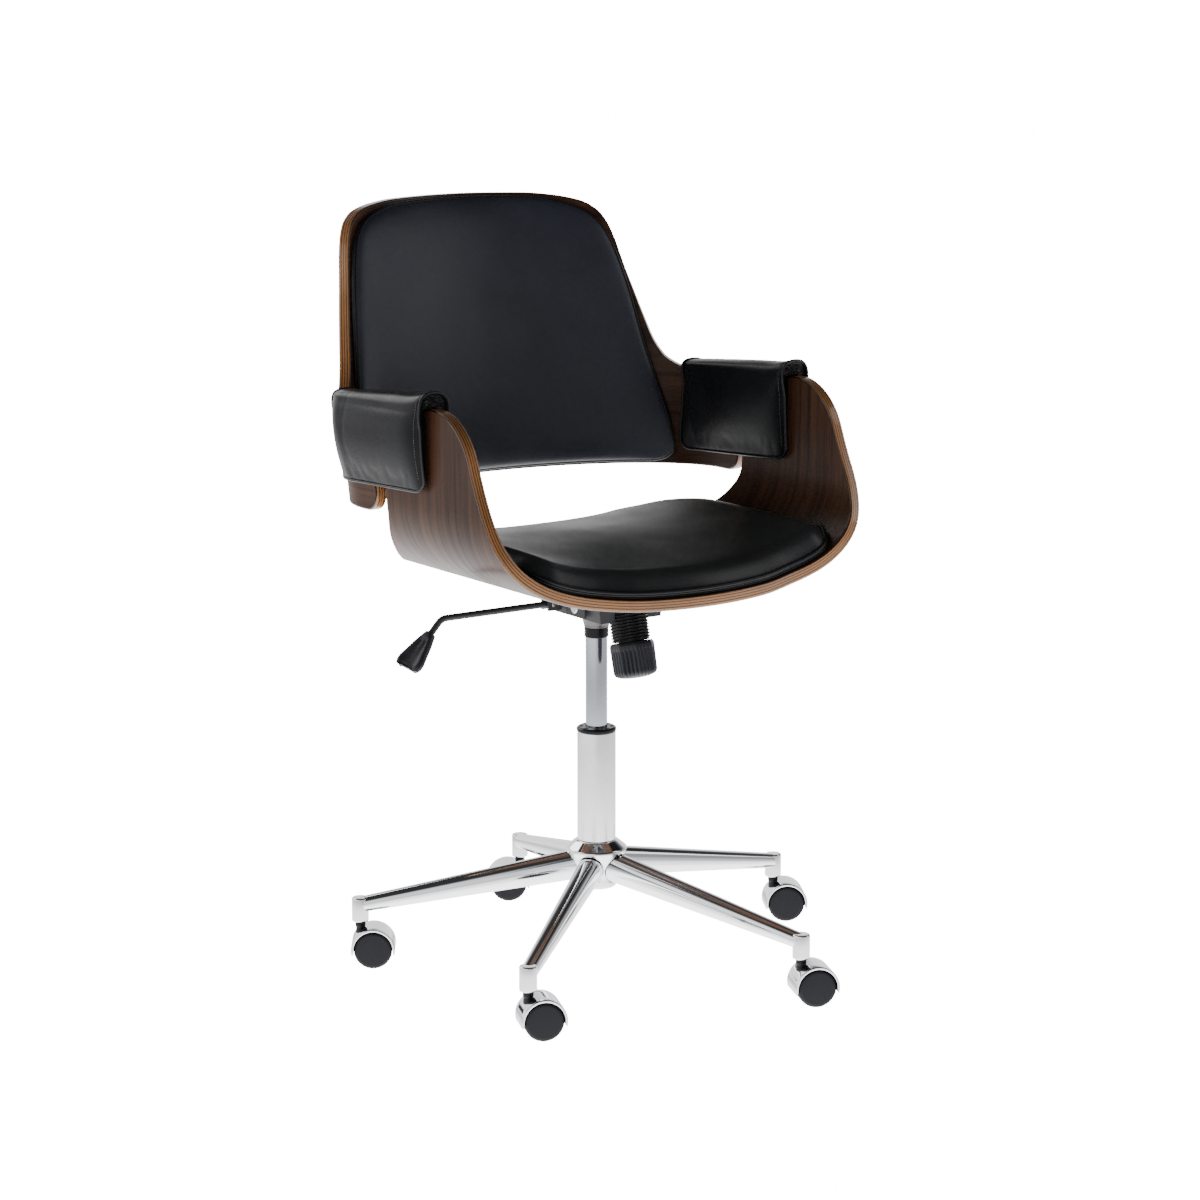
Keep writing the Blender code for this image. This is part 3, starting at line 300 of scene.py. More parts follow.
def chrome(name, roughness, satin=0.0, tint=(0.88, 0.89, 0.905)):
    """Plated steel, with faint smears, pits and a slight waviness under the plating."""
    look = Look(name, tint, roughness, 1.0)
    spot = look.place()
    smear = look.noise(spot, 18.0, 4.0, 0.6, 0.4)
    dust = look.noise(spot, 1400.0, 2.0)
    dull = look.math("MULTIPLY_ADD", dust, 0.35, smear)
    look.rough(look.range(dull, 0.45, 0.95, roughness * 0.8, roughness * 1.35 + 0.015))
    look.colour(look.ramp(smear, [(0.3, tuple(c * 0.955 for c in tint)), (0.7, tint)]))
    look.bump(look.noise(spot, 26.0, 2.0), 0.05, 0.0006)
    if satin > 0.0:
        brushed = look.noise(look.place((60.0, 60.0, 2500.0)), 1.0, 3.0)
        look.bump(brushed, satin, 0.00015)
    return look.mat


def plastic(name, colour, roughness, grit=0.25, scale=900.0, metallic=0.0):
    """Moulded plastic or powder coat with a spark-eroded texture and scuffed tone."""
    look = Look(name, colour, roughness, metallic, Specular_IOR_Level=0.22)
    spot = look.place()
    cell = look.cells(spot, scale, "F1")
    cloud = look.noise(spot, 22.0, 4.0, 0.6)
    look.bump(cell, grit, 0.00022)
    look.bump(look.noise(spot, scale * 0.25, 3.0), grit * 0.4, 0.0002)
    dark, light = tuple(c * 0.78 for c in colour), tuple(c * 1.3 + 0.001 for c in colour)
    look.colour(look.ramp(cloud, [(0.28, dark), (0.75, light)]))
    look.rough(look.range(cloud, 0.3, 0.75, roughness - 0.05, roughness + 0.09))
    return look.mat


SEAT_WOOD = veneer("walnut_seat", "Y", 0.0)
BACK_WOOD = veneer("walnut_back", "Z", 0.5)
PLY_EDGE = ply_edge()
# The back and seat covers are the same black leather as the arm pads, given lighter tones as painted light: the back
# lighter and bluer for a painted bluish reflection, the seat lighter for a painted sheen.
BACK_LEATHER_PAINTED_LIGHT = leather("leather_back_painted_light", (0.0180, 0.0196, 0.0290), 0.40, shine=0.40)
SEAT_LEATHER_PAINTED_SHEEN = leather("leather_seat_painted_sheen", (0.0150, 0.0158, 0.0166), 0.36, shine=0.50)
ARM_LEATHER = leather("leather_arm", (0.0042, 0.0043, 0.0050), 0.30, 0.25, 0.09)
PIPING_LEATHER = leather("leather_piping", (0.0055, 0.0058, 0.0075), 0.32, 0.15)
LINING = leather("crumpled_lining", (0.0040, 0.0040, 0.0050), 0.22, 0.9)
THREAD = thread()
BASE_CHROME = chrome("base_chrome", 0.055)
TUBE_CHROME = chrome("tube_chrome", 0.24, 0.05, (0.97, 0.97, 0.98))
ROD_CHROME = chrome("rod_chrome", 0.10, 0.03, (0.50, 0.53, 0.57))
HOOD_CHROME = chrome("hood_chrome", 0.07)
ZINC = chrome("zinc_plate", 0.33, 0.0, (0.60, 0.62, 0.60))
WHEEL = plastic("wheel_plastic", (0.0100, 0.0098, 0.0128), 0.56, 0.3, 1200.0)
CASTER_BLACK = plastic("caster_plastic", (0.006, 0.006, 0.008), 0.42, 0.2)
KNOB_BLACK = plastic("knob_plastic", (0.016, 0.0165, 0.020), 0.36, 0.2)
SLEEVE_BLACK = plastic("sleeve_plastic", (0.0075, 0.0075, 0.0085), 0.45, 0.15)
RING_BLACK = plastic("ring_plastic", (0.006, 0.006, 0.007), 0.16, 0.04)
STEEL_BLACK = plastic("powder_coat", (0.032, 0.032, 0.034), 0.42, 0.3, 1500.0, 0.25)
CAST_GREY = plastic("cast_cone", (0.115, 0.112, 0.110), 0.40, 0.4, 700.0, 0.75)

# Making pieces


def thing_of(name, shape):
    """An object in the scene made from a bmesh, which is used up."""
    mesh = bpy.data.meshes.new(name)
    shape.to_mesh(mesh)
    shape.free()
    thing = bpy.data.objects.new(name, mesh)
    scene.collection.objects.link(thing)
    return thing


def smoothed(mesh):
    for face in mesh.polygons:
        face.use_smooth = True


def outward(shape):
    """Turns every face of a bmesh outward."""
    bmesh.ops.recalc_face_normals(shape, faces=shape.faces)
    return shape


def piece(name, shape, looks, body, stands_for=(), sharp=40.0):
    """Turns a bmesh, drawn in the chair's frame, into a piece that rides on a body."""
    thing = thing_of(name, shape)
    thing.data.transform(Matrix.Translation(AXIS))
    smoothed(thing.data)
    thing.data.set_sharp_from_angle(angle=radians(sharp))
    for look in looks:
        thing.data.materials.append(look)
    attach(thing, body)
    if stands_for:
        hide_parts(*stands_for)
    return thing


def soften(thing, width):
    """Rounds a solid's edges a little, so that they catch the light."""
    step = thing.modifiers.new("soft_edges", "BEVEL")
    step.width = width
    step.segments = 3
    step.limit_method = "ANGLE"
    step.angle_limit = radians(30.0)
    step.harden_normals = False
    step.use_clamp_overlap = True


def circle(count, turn=0.0):
    """Cosine and sine at even angles."""
    angles = [2.0 * pi * (k + turn) / count for k in range(count)]
    return [(cos(angle), sin(angle)) for angle in angles]


def banded(shape, low, high, shift=0):
    """Faces between two closed rings of equal length."""
    n = len(low)
    return [shape.faces.new((low[k], low[(k + 1) % n], high[(k + 1 + shift) % n], high[(k + shift) % n]))
            for k in range(n)]


def lathe(profile, count):
    """Turns an open or closed (radius, height) outline about Z."""
    shape = bmesh.new()
    rings = []
    for radius, height in profile:
        if radius < 1e-6:
            rings.append([shape.verts.new((0.0, 0.0, height))])
        else:
            rings.append([shape.verts.new((radius * c, radius * s, height)) for c, s in circle(count)])
    for low, high in zip(rings, rings[1:]):
        for k in range(count):
            n = (k + 1) % count
            corners = [low[k % len(low)], low[n % len(low)], high[n % len(high)], high[k % len(high)]]
            unique = list(dict.fromkeys(corners))
            if len(unique) > 2:
                shape.faces.new(unique)
    return outward(shape)


def rounded(profile, radius, steps=4):
    """Rounds the inner corners of an open outline."""
    points = [Vector(p) for p in profile]
    out = [points[0]]
    for before, corner, after in zip(points, points[1:], points[2:]):
        reach = min(radius, (before - corner).length * 0.45, (after - corner).length * 0.45)
        a = corner + (before - corner).normalized() * reach
        b = corner + (after - corner).normalized() * reach
        for k in range(steps + 1):
            t = k / steps
            out.append(a * (1 - t) ** 2 + corner * 2 * t * (1 - t) + b * t * t)
    out.append(points[-1])
    return [(max(0.0, p.x), p.y) for p in out]


def loft(rings):
    """Joins equal rings of points, and closes both ends."""
    shape = bmesh.new()
    rows = [[shape.verts.new(point) for point in ring] for ring in rings]
    for low, high in zip(rows, rows[1:]):
        banded(shape, low, high)
    shape.faces.new(rows[0][::-1])
    shape.faces.new(rows[-1])
    return shape


def squircle(width, height, power, count):
    """Points of a rounded outline, width by height, about the origin."""
    return [
        (width / 2.0 * copysign(abs(c) ** (2.0 / power), c), height / 2.0 * copysign(abs(s) ** (2.0 / power), s))
        for c, s in circle(count, 0.5)
    ]


def tube(points, radius, closed=False, sides=12):
    """A round tube along points, with its frame carried along the path."""
    shape = bmesh.new()
    count = len(points)
    points = [Vector(p) for p in points]
    rings = []
    normal = None
    for i, point in enumerate(points):
        after = points[(i + 1) % count] if closed or i < count - 1 else point
        before = points[i - 1] if closed or i > 0 else point
        step = (after - before).normalized()
        if normal is None:
            normal = step.orthogonal().normalized()
        normal = (normal - step * normal.dot(step)).normalized()
        side = step.cross(normal)
        rings.append([shape.verts.new(point + normal * radius * c + side * radius * s) for c, s in circle(sides)])
    for low, high in zip(rings, rings[1:]):
        banded(shape, low, high)
    if closed:
        low, high = rings[-1], rings[0]

        def apart(n):
            return sum((low[k].co - high[(k + n) % sides].co).length for k in range(sides))

        banded(shape, low, high, min(range(sides), key=apart))
    else:
        shape.faces.new(rings[0][::-1])
        shape.faces.new(rings[-1])
    return outward(shape)


def moved(shape, matrix):
    bmesh.ops.transform(shape, matrix=matrix, verts=shape.verts)
    return shape


def about_z(degrees):
    return Matrix.Rotation(radians(degrees), 4, "Z")


def measured(points):
    """The length along a path at each of its points."""
    lengths = [0.0]
    for a, b in zip(points, points[1:]):
        lengths.append(lengths[-1] + (b - a).length)
    return lengths


def even(points, step, closed=False):
    """The same path with points at even distances."""
    points = [Vector(p) for p in points]
    if closed:
        points = points + [points[0]]
    lengths = measured(points)
    count = max(2, round(lengths[-1] / step))
    out = []
    i = 0
    for k in range(count if closed else count + 1):
        want = lengths[-1] * k / count
        while i < len(points) - 2 and lengths[i + 1] < want:
            i += 1
        share = (want - lengths[i]) / max(1e-9, lengths[i + 1] - lengths[i])
        out.append(points[i].lerp(points[i + 1], share))
    return out


def mixed(pair, share):
    return pair[0] + (pair[1] - pair[0]) * share


def joined(name, looks, body, shapes, stands_for=(), sharp=40.0):
    """One piece from several bmeshes, each with the number of its look."""
    whole = bmesh.new()
    for shape, number in shapes:
        mesh = bpy.data.meshes.new("part")
        for face in shape.faces:
            face.material_index = number
        shape.to_mesh(mesh)
        shape.free()
        whole.from_mesh(mesh)
        bpy.data.meshes.remove(mesh)
    return piece(name, whole, looks, body, stands_for, sharp)


# Curves of the two shells, by the same formulas as the solids


def smooth(knots, t):
    """A smooth curve through a few (t, value) knots, level at its start, with no overshoot."""
    if t <= knots[0][0]:
        return knots[0][1]
    if t >= knots[-1][0]:
        return knots[-1][1]
    slopes = [(b[1] - a[1]) / (b[0] - a[0]) for a, b in zip(knots, knots[1:])]
    tangents = [0.0]
    for a, b in zip(slopes, slopes[1:]):
        tangents.append(0.0 if a * b <= 0.0 else 2.0 * a * b / (a + b))
    tangents.append(slopes[-1])
    for i, (a, b) in enumerate(zip(knots, knots[1:])):
        if t <= b[0]:
            width = b[0] - a[0]
            u = (t - a[0]) / width
            return (
                a[1] * (2 * u**3 - 3 * u**2 + 1)
                + b[1] * (3 * u**2 - 2 * u**3)
                + width * tangents[i] * (u**3 - 2 * u**2 + u)
                + width * tangents[i + 1] * (u**3 - u**2)
            )
    return knots[-1][1]


class Section:
    """A flat curve measured by its own length, from the chair's middle out to one side."""

    def __init__(self, points):
        self.points = [Vector(p) for p in points]
        self.lengths = measured(self.points)
        self.total = self.lengths[-1]
        steps = [(b - a).normalized() for a, b in zip(self.points, self.points[1:])]
        self.steps = [steps[0]] + [((a + b) / 2.0).normalized() for a, b in zip(steps, steps[1:])] + [steps[-1]]
        self.steps[0] = Vector((1.0, 0.0))

    def at(self, s):
        """The point and the outward direction at a length, with the direction turning smoothly."""
        side = -1.0 if s < 0.0 else 1.0
        s = min(abs(s), self.total)
        low, high = 0, len(self.points) - 2
        while low < high:
            middle = (low + high) // 2
            if s <= self.lengths[middle + 1]:
                high = middle
            else:
                low = middle + 1
        share = (s - self.lengths[low]) / max(1e-9, self.lengths[low + 1] - self.lengths[low])
        point = self.points[low].lerp(self.points[low + 1], share)
        step = self.steps[low].lerp(self.steps[low + 1], share).normalized()
        return Vector((side * point.x, point.y)), Vector((side * step.y, -step.x))

    def length_at_x(self, x):
        for i, (a, b) in enumerate(zip(self.points, self.points[1:])):
            if b.x >= x:
                return self.lengths[i] + (x - a.x) / (b.x - a.x) * (self.lengths[i + 1] - self.lengths[i])
        return self.total


quarter = [radians(k / 4.0) for k in range(361)]
power = 2.0 / SEAT_POWER
bend = [(SEAT_HALF * sin(angle) ** power, SEAT_BEND_Z - (SEAT_BEND_Z - SEAT_BOTTOM_Z) * max(0.0, cos(angle)) ** power)
        for angle in quarter]
seat_section = Section([*bend, (SEAT_HALF, ARM_TOP_Z)])
seat_end = seat_section.total
SEAT_FRONT = ((0.0, -0.240), (0.090, -0.2315), (0.150, -0.2175), (0.218, -0.210), (0.277, -0.200), (0.330, -0.180),
              (0.382, -0.154), (0.427, -0.1345), (seat_end, -0.1170))
SEAT_REAR = ((0.0, 0.190), (0.120, 0.183), (0.190, 0.154), (0.238, 0.101), (0.282, 0.066), (0.330, ARM_REAR_Y),
             (seat_end, ARM_REAR_Y))


def seat_front(s):
    s = abs(s)
    past = max(0.0, s - (seat_end - ARM_CORNER_R))
    return smooth(SEAT_FRONT, s) + ARM_CORNER_R - sqrt(max(0.0, ARM_CORNER_R**2 - past**2))


def seat_rear(s):
    return smooth(SEAT_REAR, abs(s))


def seat_point(s, y, inward=0.0):
    flat, out = seat_section.at(s)
    x = flat.x - out.x * inward
    z = flat.y - out.y * inward
    rise = max(0.0, (z - 0.62) / (ARM_TOP_Z - 0.62))
    return Vector((x, y, z - ARM_TOP_SLOPE * (y - ARM_FRONT_Y) * rise**2))


bend = [(BACK_HALF * sin(angle), BACK_START_Y + BACK_DEPTH * cos(angle)) for angle in quarter]
back_section = Section([*bend, (BACK_HALF, WING_FRONT_Y)])
back_end = back_section.total
BACK_TOP = [
    (back_section.length_at_x(share * BACK_HALF), z)
    for share, z in (
        (0.0, 0.983), (0.366, 0.981), (0.513, 0.977), (0.638, 0.969), (0.704, 0.957), (0.740, 0.941),
        (0.766, 0.918),
        (0.789, 0.885), (0.817, 0.850), (0.846, 0.813), (0.872, 0.782), (0.909, 0.759), (0.953, 0.749),
    )
] + [(back_end - 0.040, 0.747), (back_end, 0.744)]
BACK_PAD_LOW = BACK_BOTTOM_Z + 0.006
BACK_PAD_HIGH = 0.977
BACK_PAD_SIDE = [
    (z, back_section.length_at_x(share * BACK_HALF))
    for z, share in (
        (0.624, 0.910), (0.668, 0.900), (0.728, 0.866), (0.781, 0.833), (0.847, 0.800), (0.885, 0.774),
        (0.905, 0.756), (0.933, 0.721), (0.950, 0.679), (0.962, 0.622), (0.970, 0.550), (0.977, 0.450),
    )
]


def back_bottom(s):
    past = max(0.0, abs(s) - (back_end - WING_CORNER_R))
    return BACK_BOTTOM_Z + WING_CORNER_R - sqrt(max(0.0, WING_CORNER_R**2 - past**2))


def back_point(s, z, inward=0.0):
    flat, out = back_section.at(s)
    return Vector((flat.x + out.x * inward, flat.y + out.y * inward + BACK_LEAN * (z - BACK_BOTTOM_Z), z))


def marks(total, corner, step, dense=()):
    """Distances from the middle to a rounded corner, even first and then by angle. dense holds (from, to, step)."""
    out = [0.0]
    while out[-1] < total - corner - 1e-6:
        size = step
        for low, high, fine in dense:
            if low <= out[-1] < high:
                size = fine
        out.append(min(total - corner, out[-1] + size))
    for k in range(1, 13):
        out.append(total - corner + corner * sin(radians(7.5 * k)))
    return [-m for m in reversed(out[1:])] + out


def plywood(name, columns, rows, flat_outline, place, sign, wood, node):
    """A bent sheet with rounded, layered edges. place(s, t, depth) is a point at a depth under the drawn face.

    sign is 1 where the drawn face is the outside and -1 where it is the inside.
    """
    grid = []
    for s in columns:
        low, high = flat_outline(s)
        grid.append([Vector((s, low + (high - low) * v / rows)) for v in range(rows + 1)])
    last = len(columns) - 1
    border = [(0, v) for v in range(rows)] + [(i, rows) for i in range(last)]
    border += [(last, v) for v in range(rows, 0, -1)] + [(i, 0) for i in range(last, 0, -1)]
    flat = [grid[i][v] for i, v in border]
    count = len(border)
    normals = []
    for k in range(count):
        before = (flat[k] - flat[k - 1]).normalized()
        after = (flat[(k + 1) % count] - flat[k]).normalized()
        step = before + after
        normals.append(Vector((-step.y, step.x)).normalized())
    shape = bmesh.new()
    depth_layer = shape.verts.layers.float.new("depth")

    def add(point, depth):
        vert = shape.verts.new(place(point.x, point.y, depth))
        share = depth / PLY
        vert[depth_layer] = share if sign > 0 else 1.0 - share
        return vert

    faces = []
    for depth in (0.0, PLY):
        inset = {pair: flat[k] - normals[k] * PLY_ROUND for k, pair in enumerate(border)}
        verts = [[add(inset.get((i, v), grid[i][v]), depth) for v in range(rows + 1)] for i in range(last + 1)]
        faces.append(verts)
        for left, right in zip(verts, verts[1:]):
            for v in range(rows):
                shape.faces.new((left[v], left[v + 1], right[v + 1], right[v]))
    loops = [[faces[0][i][v] for i, v in border]]
    rim = []
    for k in range(1, 5):
        angle = radians(22.5 * k)
        rim.append((PLY_ROUND * (1.0 - sin(angle)), PLY_ROUND * (1.0 - cos(angle))))
    rim += [(0.0, PLY * share) for share in (0.25, 0.375, 0.5, 0.625, 0.75)]
    rim += [(inset, PLY - depth) for inset, depth in reversed(rim[:4])]
    for inset, depth in rim:
        loops.append([add(flat[k] - normals[k] * inset, depth) for k in range(count)])
    loops.append([faces[1][i][v] for i, v in border])
    for low, high in zip(loops, loops[1:]):
        for face in banded(shape, low, high):
            face.material_index = 1
    return piece(name, outward(shape), [wood, PLY_EDGE], "seat", (node,), 60.0)


plywood(
    "seat_ply",
    marks(seat_end, ARM_CORNER_R, 0.0075),
    44,
    lambda s: (seat_front(s), seat_rear(s)),
    lambda s, t, depth: seat_point(s, t, depth),
    1.0,
    SEAT_WOOD,
    "seat_shell",
)
steep = (back_section.length_at_x(0.150), back_section.length_at_x(0.262), 0.004)
plywood(
    "back_ply",
    marks(back_end, WING_CORNER_R, 0.008, [steep]),
    44,
    lambda s: (back_bottom(s), smooth(BACK_TOP, abs(s))),
    lambda s, t, depth: back_point(s, t, -depth),
    -1.0,
    BACK_WOOD,
    "back_shell",
)

# Cushions


def seat_pad_point(u, v, up):
    s = u * SEAT_PAD_END
    pull = 0.032 * max(0.0, (abs(u) - 0.80) / 0.20) ** 2.2
    front = seat_front(s) + 0.0068 + pull
    rear = min(seat_rear(s) - 0.006, 0.172) - 1.9 * pull
    return seat_point(s, (front + rear) / 2.0 + (rear - front) / 2.0 * v, PLY + up)


def back_pad_point(u, v, up):
    t = (v + 1.0) / 2.0
    level = BACK_PAD_LOW + (BACK_PAD_HIGH - BACK_PAD_LOW) * t
    round_low = 0.010 * max(0.0, (-v - 0.90) / 0.10) ** 2.0
    s = u * (smooth(BACK_PAD_SIDE, level) - round_low)
    z = level - 0.005 * abs(u) ** 3 * t**3 + 0.006 * max(0.0, (abs(u) - 0.90) / 0.10) ** 2.0 * (1.0 - t) ** 3
    return back_point(s, z, up)


def around(count):
    """(u, v) pairs round the edge of a cushion."""
    line = [2.0 * k / count - 1.0 for k in range(count)]
    return ([(-1.0, v) for v in line] + [(u, 1.0) for u in line]
            + [(1.0, -v) for v in line] + [(-u, -1.0) for u in line])


def pillow(name, place, height, columns, rows, edge=1.0):
    """A cushion: crowned top, upright side and flat underside. Also gives how free each point is to swell."""
    us = [sin(pi / 2.0 * (2.0 * i / columns - 1.0)) for i in range(columns + 1)]
    vs = [sin(pi / 2.0 * (2.0 * j / rows - 1.0)) for j in range(rows + 1)]
    shape = bmesh.new()
    upper = [[shape.verts.new(place(u * edge, v * edge, height(u, v))) for v in vs] for u in us]
    lower = [[shape.verts.new(place(u * edge, v * edge, 0.0010)) for v in vs] for u in us]
    free = [min(1.0, (1.0 - max(abs(u), abs(v))) / 0.10) for u in us for v in vs] + [0.0] * (len(us) * len(vs))
    for rows_of, flip in ((upper, False), (lower, True)):
        for left, right in zip(rows_of, rows_of[1:]):
            for j in range(rows):
                corners = (left[j], left[j + 1], right[j + 1], right[j])
                shape.faces.new(corners[::-1] if flip else corners)
    rims = []
    for sheet in (upper, lower):
        rims.append(sheet[0] + [c[-1] for c in sheet[1:]] + sheet[-1][-2::-1] + [c[0] for c in sheet[-2:0:-1]])
    banded(shape, *rims)
    return thing_of(name, outward(shape)), free


# Cloth settings of a leather cover, and how its shift is measured and evened
HIDE = {
    "quality": 5, "mass": 0.4, "tension_stiffness": 25.0, "compression_stiffness": 25.0, "shear_stiffness": 12.0,
    "bending_stiffness": 1.2, "use_pressure": True, "vertex_group_mass": "held",
}
CLOTH_FRAMES = 20
NEIGHBOURS = 18
NEAR = 0.0065


def blown(thing, voxel, held, pressure=4.0, rounds=24):
    """Blows up a rough closed copy as stuffed leather, and gives its points with how far each one moved."""
    bpy.ops.object.select_all(action="DESELECT")
    thing.select_set(True)
    bpy.context.view_layer.objects.active = thing
    remesh = thing.modifiers.new("remesh", "REMESH")
    remesh.mode = "VOXEL"
    remesh.voxel_size = voxel
    bpy.ops.object.modifier_apply(modifier="remesh")
    rest = [v.co.copy() for v in thing.data.vertices]
    group = thing.vertex_groups.new(name="held")
    group.add([i for i, point in enumerate(rest) if held(point)], 1.0, "REPLACE")
    moved = numpy.zeros((len(rest), 3))
    cloth = thing.modifiers.new("cloth", "CLOTH")
    for key, value in {**HIDE, "uniform_pressure_force": pressure}.items():
        setattr(cloth.settings, key, value)
    cloth.settings.effector_weights.gravity = 0.0
    cloth.collision_settings.use_collision = False
    for number in range(1, CLOTH_FRAMES + 1):
        scene.frame_set(number)
    done = thing.evaluated_get(bpy.context.evaluated_depsgraph_get()).data
    for i, vert in enumerate(done.vertices):
        moved[i] = vert.co - rest[i]
    scene.frame_set(1)
    links = numpy.array([list(e.vertices) for e in thing.data.edges])
    ends = numpy.concatenate((links, links[:, ::-1]))
    friends = numpy.bincount(ends[:, 0], minlength=len(rest))[:, None]
    for step in range(rounds):
        total = numpy.zeros_like(moved)
        numpy.add.at(total, ends[:, 0], moved[ends[:, 1]])
        moved = (moved + total / numpy.maximum(1, friends)) / 2.0
    bpy.data.objects.remove(thing)
    return rest, moved


def filled(thing, free, blow, most):
    """Lets a fine form follow its blown copy, by at most a given distance and where it is free to."""
    rest, moved = blow
    spots = KDTree(len(rest))
    for i, point in enumerate(rest):
        spots.insert(point, i)
    spots.balance()
    longest = max(1e-6, float(numpy.linalg.norm(moved, axis=1).max()))
    scale = min(1.0, most / longest)
    for vert, share in zip(thing.data.vertices, free):
        if share > 0.0:
            near = spots.find_n(vert.co, NEIGHBOURS)
            pulls = [exp(-((n[2] / NEAR) ** 2)) for n in near]
            move = sum((Vector(moved[n[1]]) * pull for n, pull in zip(near, pulls)), Vector())
            vert.co += move * (scale * share / max(1e-9, sum(pulls)))


def dress(thing, look, body, nodes):
    """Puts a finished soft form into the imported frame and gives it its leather."""
    finer = thing.modifiers.new("finer", "SUBSURF")
    finer.levels = 1
    finer.render_levels = 1
    bpy.context.view_layer.objects.active = thing
    bpy.ops.object.modifier_apply(modifier="finer")
    thing.data.transform(Matrix.Translation(AXIS))
    smoothed(thing.data)
    thing.data.materials.clear()
    thing.data.materials.append(look)
    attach(thing, body)
    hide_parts(*nodes)
    return thing


def tree_of(place, steps=60):
    """The shell's face under a cushion, to measure distances from."""
    verts, faces = [], []
    for i in range(steps + 1):
        for j in range(steps + 1):
            verts.append(place(2.2 * i / steps - 1.1, 2.2 * j / steps - 1.1, 0.0))
    for i in range(steps):
        for j in range(steps):
            a = i * (steps + 1) + j
            faces.append((a, a + 1, a + steps + 2, a + steps + 1))
    return BVHTree.FromPolygons(verts, faces)


def laid(path, thing, lift):
    """A path laid on a finished soft form, in the chair's frame."""
    mesh = thing.data
    tree = BVHTree.FromPolygons([v.co.copy() for v in mesh.vertices], [list(f.vertices) for f in mesh.polygons])
    points = []
    for point in path:
        near, normal = tree.find_nearest(Vector(point) + AXIS)[:2]
        points.append(near + normal * lift - AXIS)
    return points


def eased(path, rounds):
    """A closed path with its corners rounded off."""
    for step in range(rounds):
        path = [(path[i - 1] + point * 2.0 + path[(i + 1) % len(path)]) / 4.0 for i, point in enumerate(path)]
    return path


SEAT_REACH = (0.258, 0.190)
BACK_CROWN = 0.0325
BACK_RIM = 0.0080
CUSHION_SWELL = 0.0032
ARM_SWELL = 0.0030


def seat_height(u, v):
    """A boxy crown: a quick rise at the edge up to a soft ridge, then a flatter top."""
    across, deep = (1.0 - abs(u)) * SEAT_REACH[0], (1.0 - abs(v)) * SEAT_REACH[1]
    near = min(across, deep)
    inside = max(0.0, near - max(0.0, 0.030 - abs(across - deep)) ** 2 / 0.120)
    rise = 0.0225 * (1.0 - exp(-((inside / 0.012) ** 1.5)))
    dome = 0.0080 * (1.0 - abs(u) ** 4.0) * (1.0 - abs(v) ** 2.5)
    front = max(0.0, min(1.0, (0.1 - v) / 0.5)) * max(0.0, min(1.0, (0.35 - u) / 0.8))
    ridge = 0.0008 * front * exp(-(((inside - 0.0245) / 0.0040) ** 2))
    return 0.0085 + rise + dome + ridge


def back_height(u, v):
    """An even crown over the whole cushion."""
    swell = (1.0 - abs(u) ** 3.2) * (1.0 - abs(v) ** 3.2)
    return BACK_RIM + (BACK_CROWN - BACK_RIM) * max(0.0, swell) ** 0.55


for name, place, height, size, look in (
    ("seat_cushion", seat_pad_point, seat_height, (150, 120), SEAT_LEATHER_PAINTED_SHEEN),
    ("back_cushion", back_pad_point, back_height, (130, 120), BACK_LEATHER_PAINTED_LIGHT),
):
    ground = tree_of(lambda u, v, up, place=place: place(max(-1.0, min(1.0, u)), v, up))
    rough = pillow("rough", place, lambda u, v, height=height: height(u, v) - 0.001, 60, 50, 0.985)[0]
    blow = blown(rough, 0.005, lambda point, ground=ground: (ground.find_nearest(point)[3] or 1.0) < 0.003)
    pad, free = pillow(f"{name}_leather", place, height, *size)
    filled(pad, free, blow, CUSHION_SWELL)
    dress(pad, look, "seat", [name])


def piping(name, place, cords):
    """Cords in leather sewn round a cushion's edge. cords holds (height over the shell, radius)."""
    shapes = []
    for height, radius in cords:
        path = even([place(u, v, height) for u, v in around(120)], 0.0035, True)
        shapes.append((tube(eased(path, 3), radius, True, 14), 0))
    joined(name, [PIPING_LEATHER], "seat", shapes, (), 180.0)


piping("seat_piping", seat_pad_point, ((0.0072, 0.0030), (0.0016, 0.0014)))
piping("back_piping", back_pad_point, ((0.0060, 0.0026),))

# Arm pads


def wing_past(y, z):
    """How far a point lies behind the start of the back's curve, and the pad's play over the curve there."""
    past = max(0.0, y - BACK_LEAN * (z - BACK_BOTTOM_Z) - BACK_START_Y)
    return past, PAD_PLAY * min(1.0, past / 0.010)


def wing_inner(y, z):
    """Inner face of the wing at a height, or of the strap in front of it."""
    past, play = wing_past(y, z)
    curve = BACK_HALF * sqrt(max(0.0, 1.0 - (past / BACK_DEPTH) ** 2))
    return min(curve - play, SEAT_HALF - PLY - TOUCH - 0.0030) - TOUCH


def wing_outer(y, z):
    """Outer face of the wing at a height."""
    past, play = wing_past(y, z)
    return (BACK_HALF + PLY) * sqrt(max(0.0, 1.0 - (past / (BACK_DEPTH + PLY)) ** 2)) + TOUCH + play


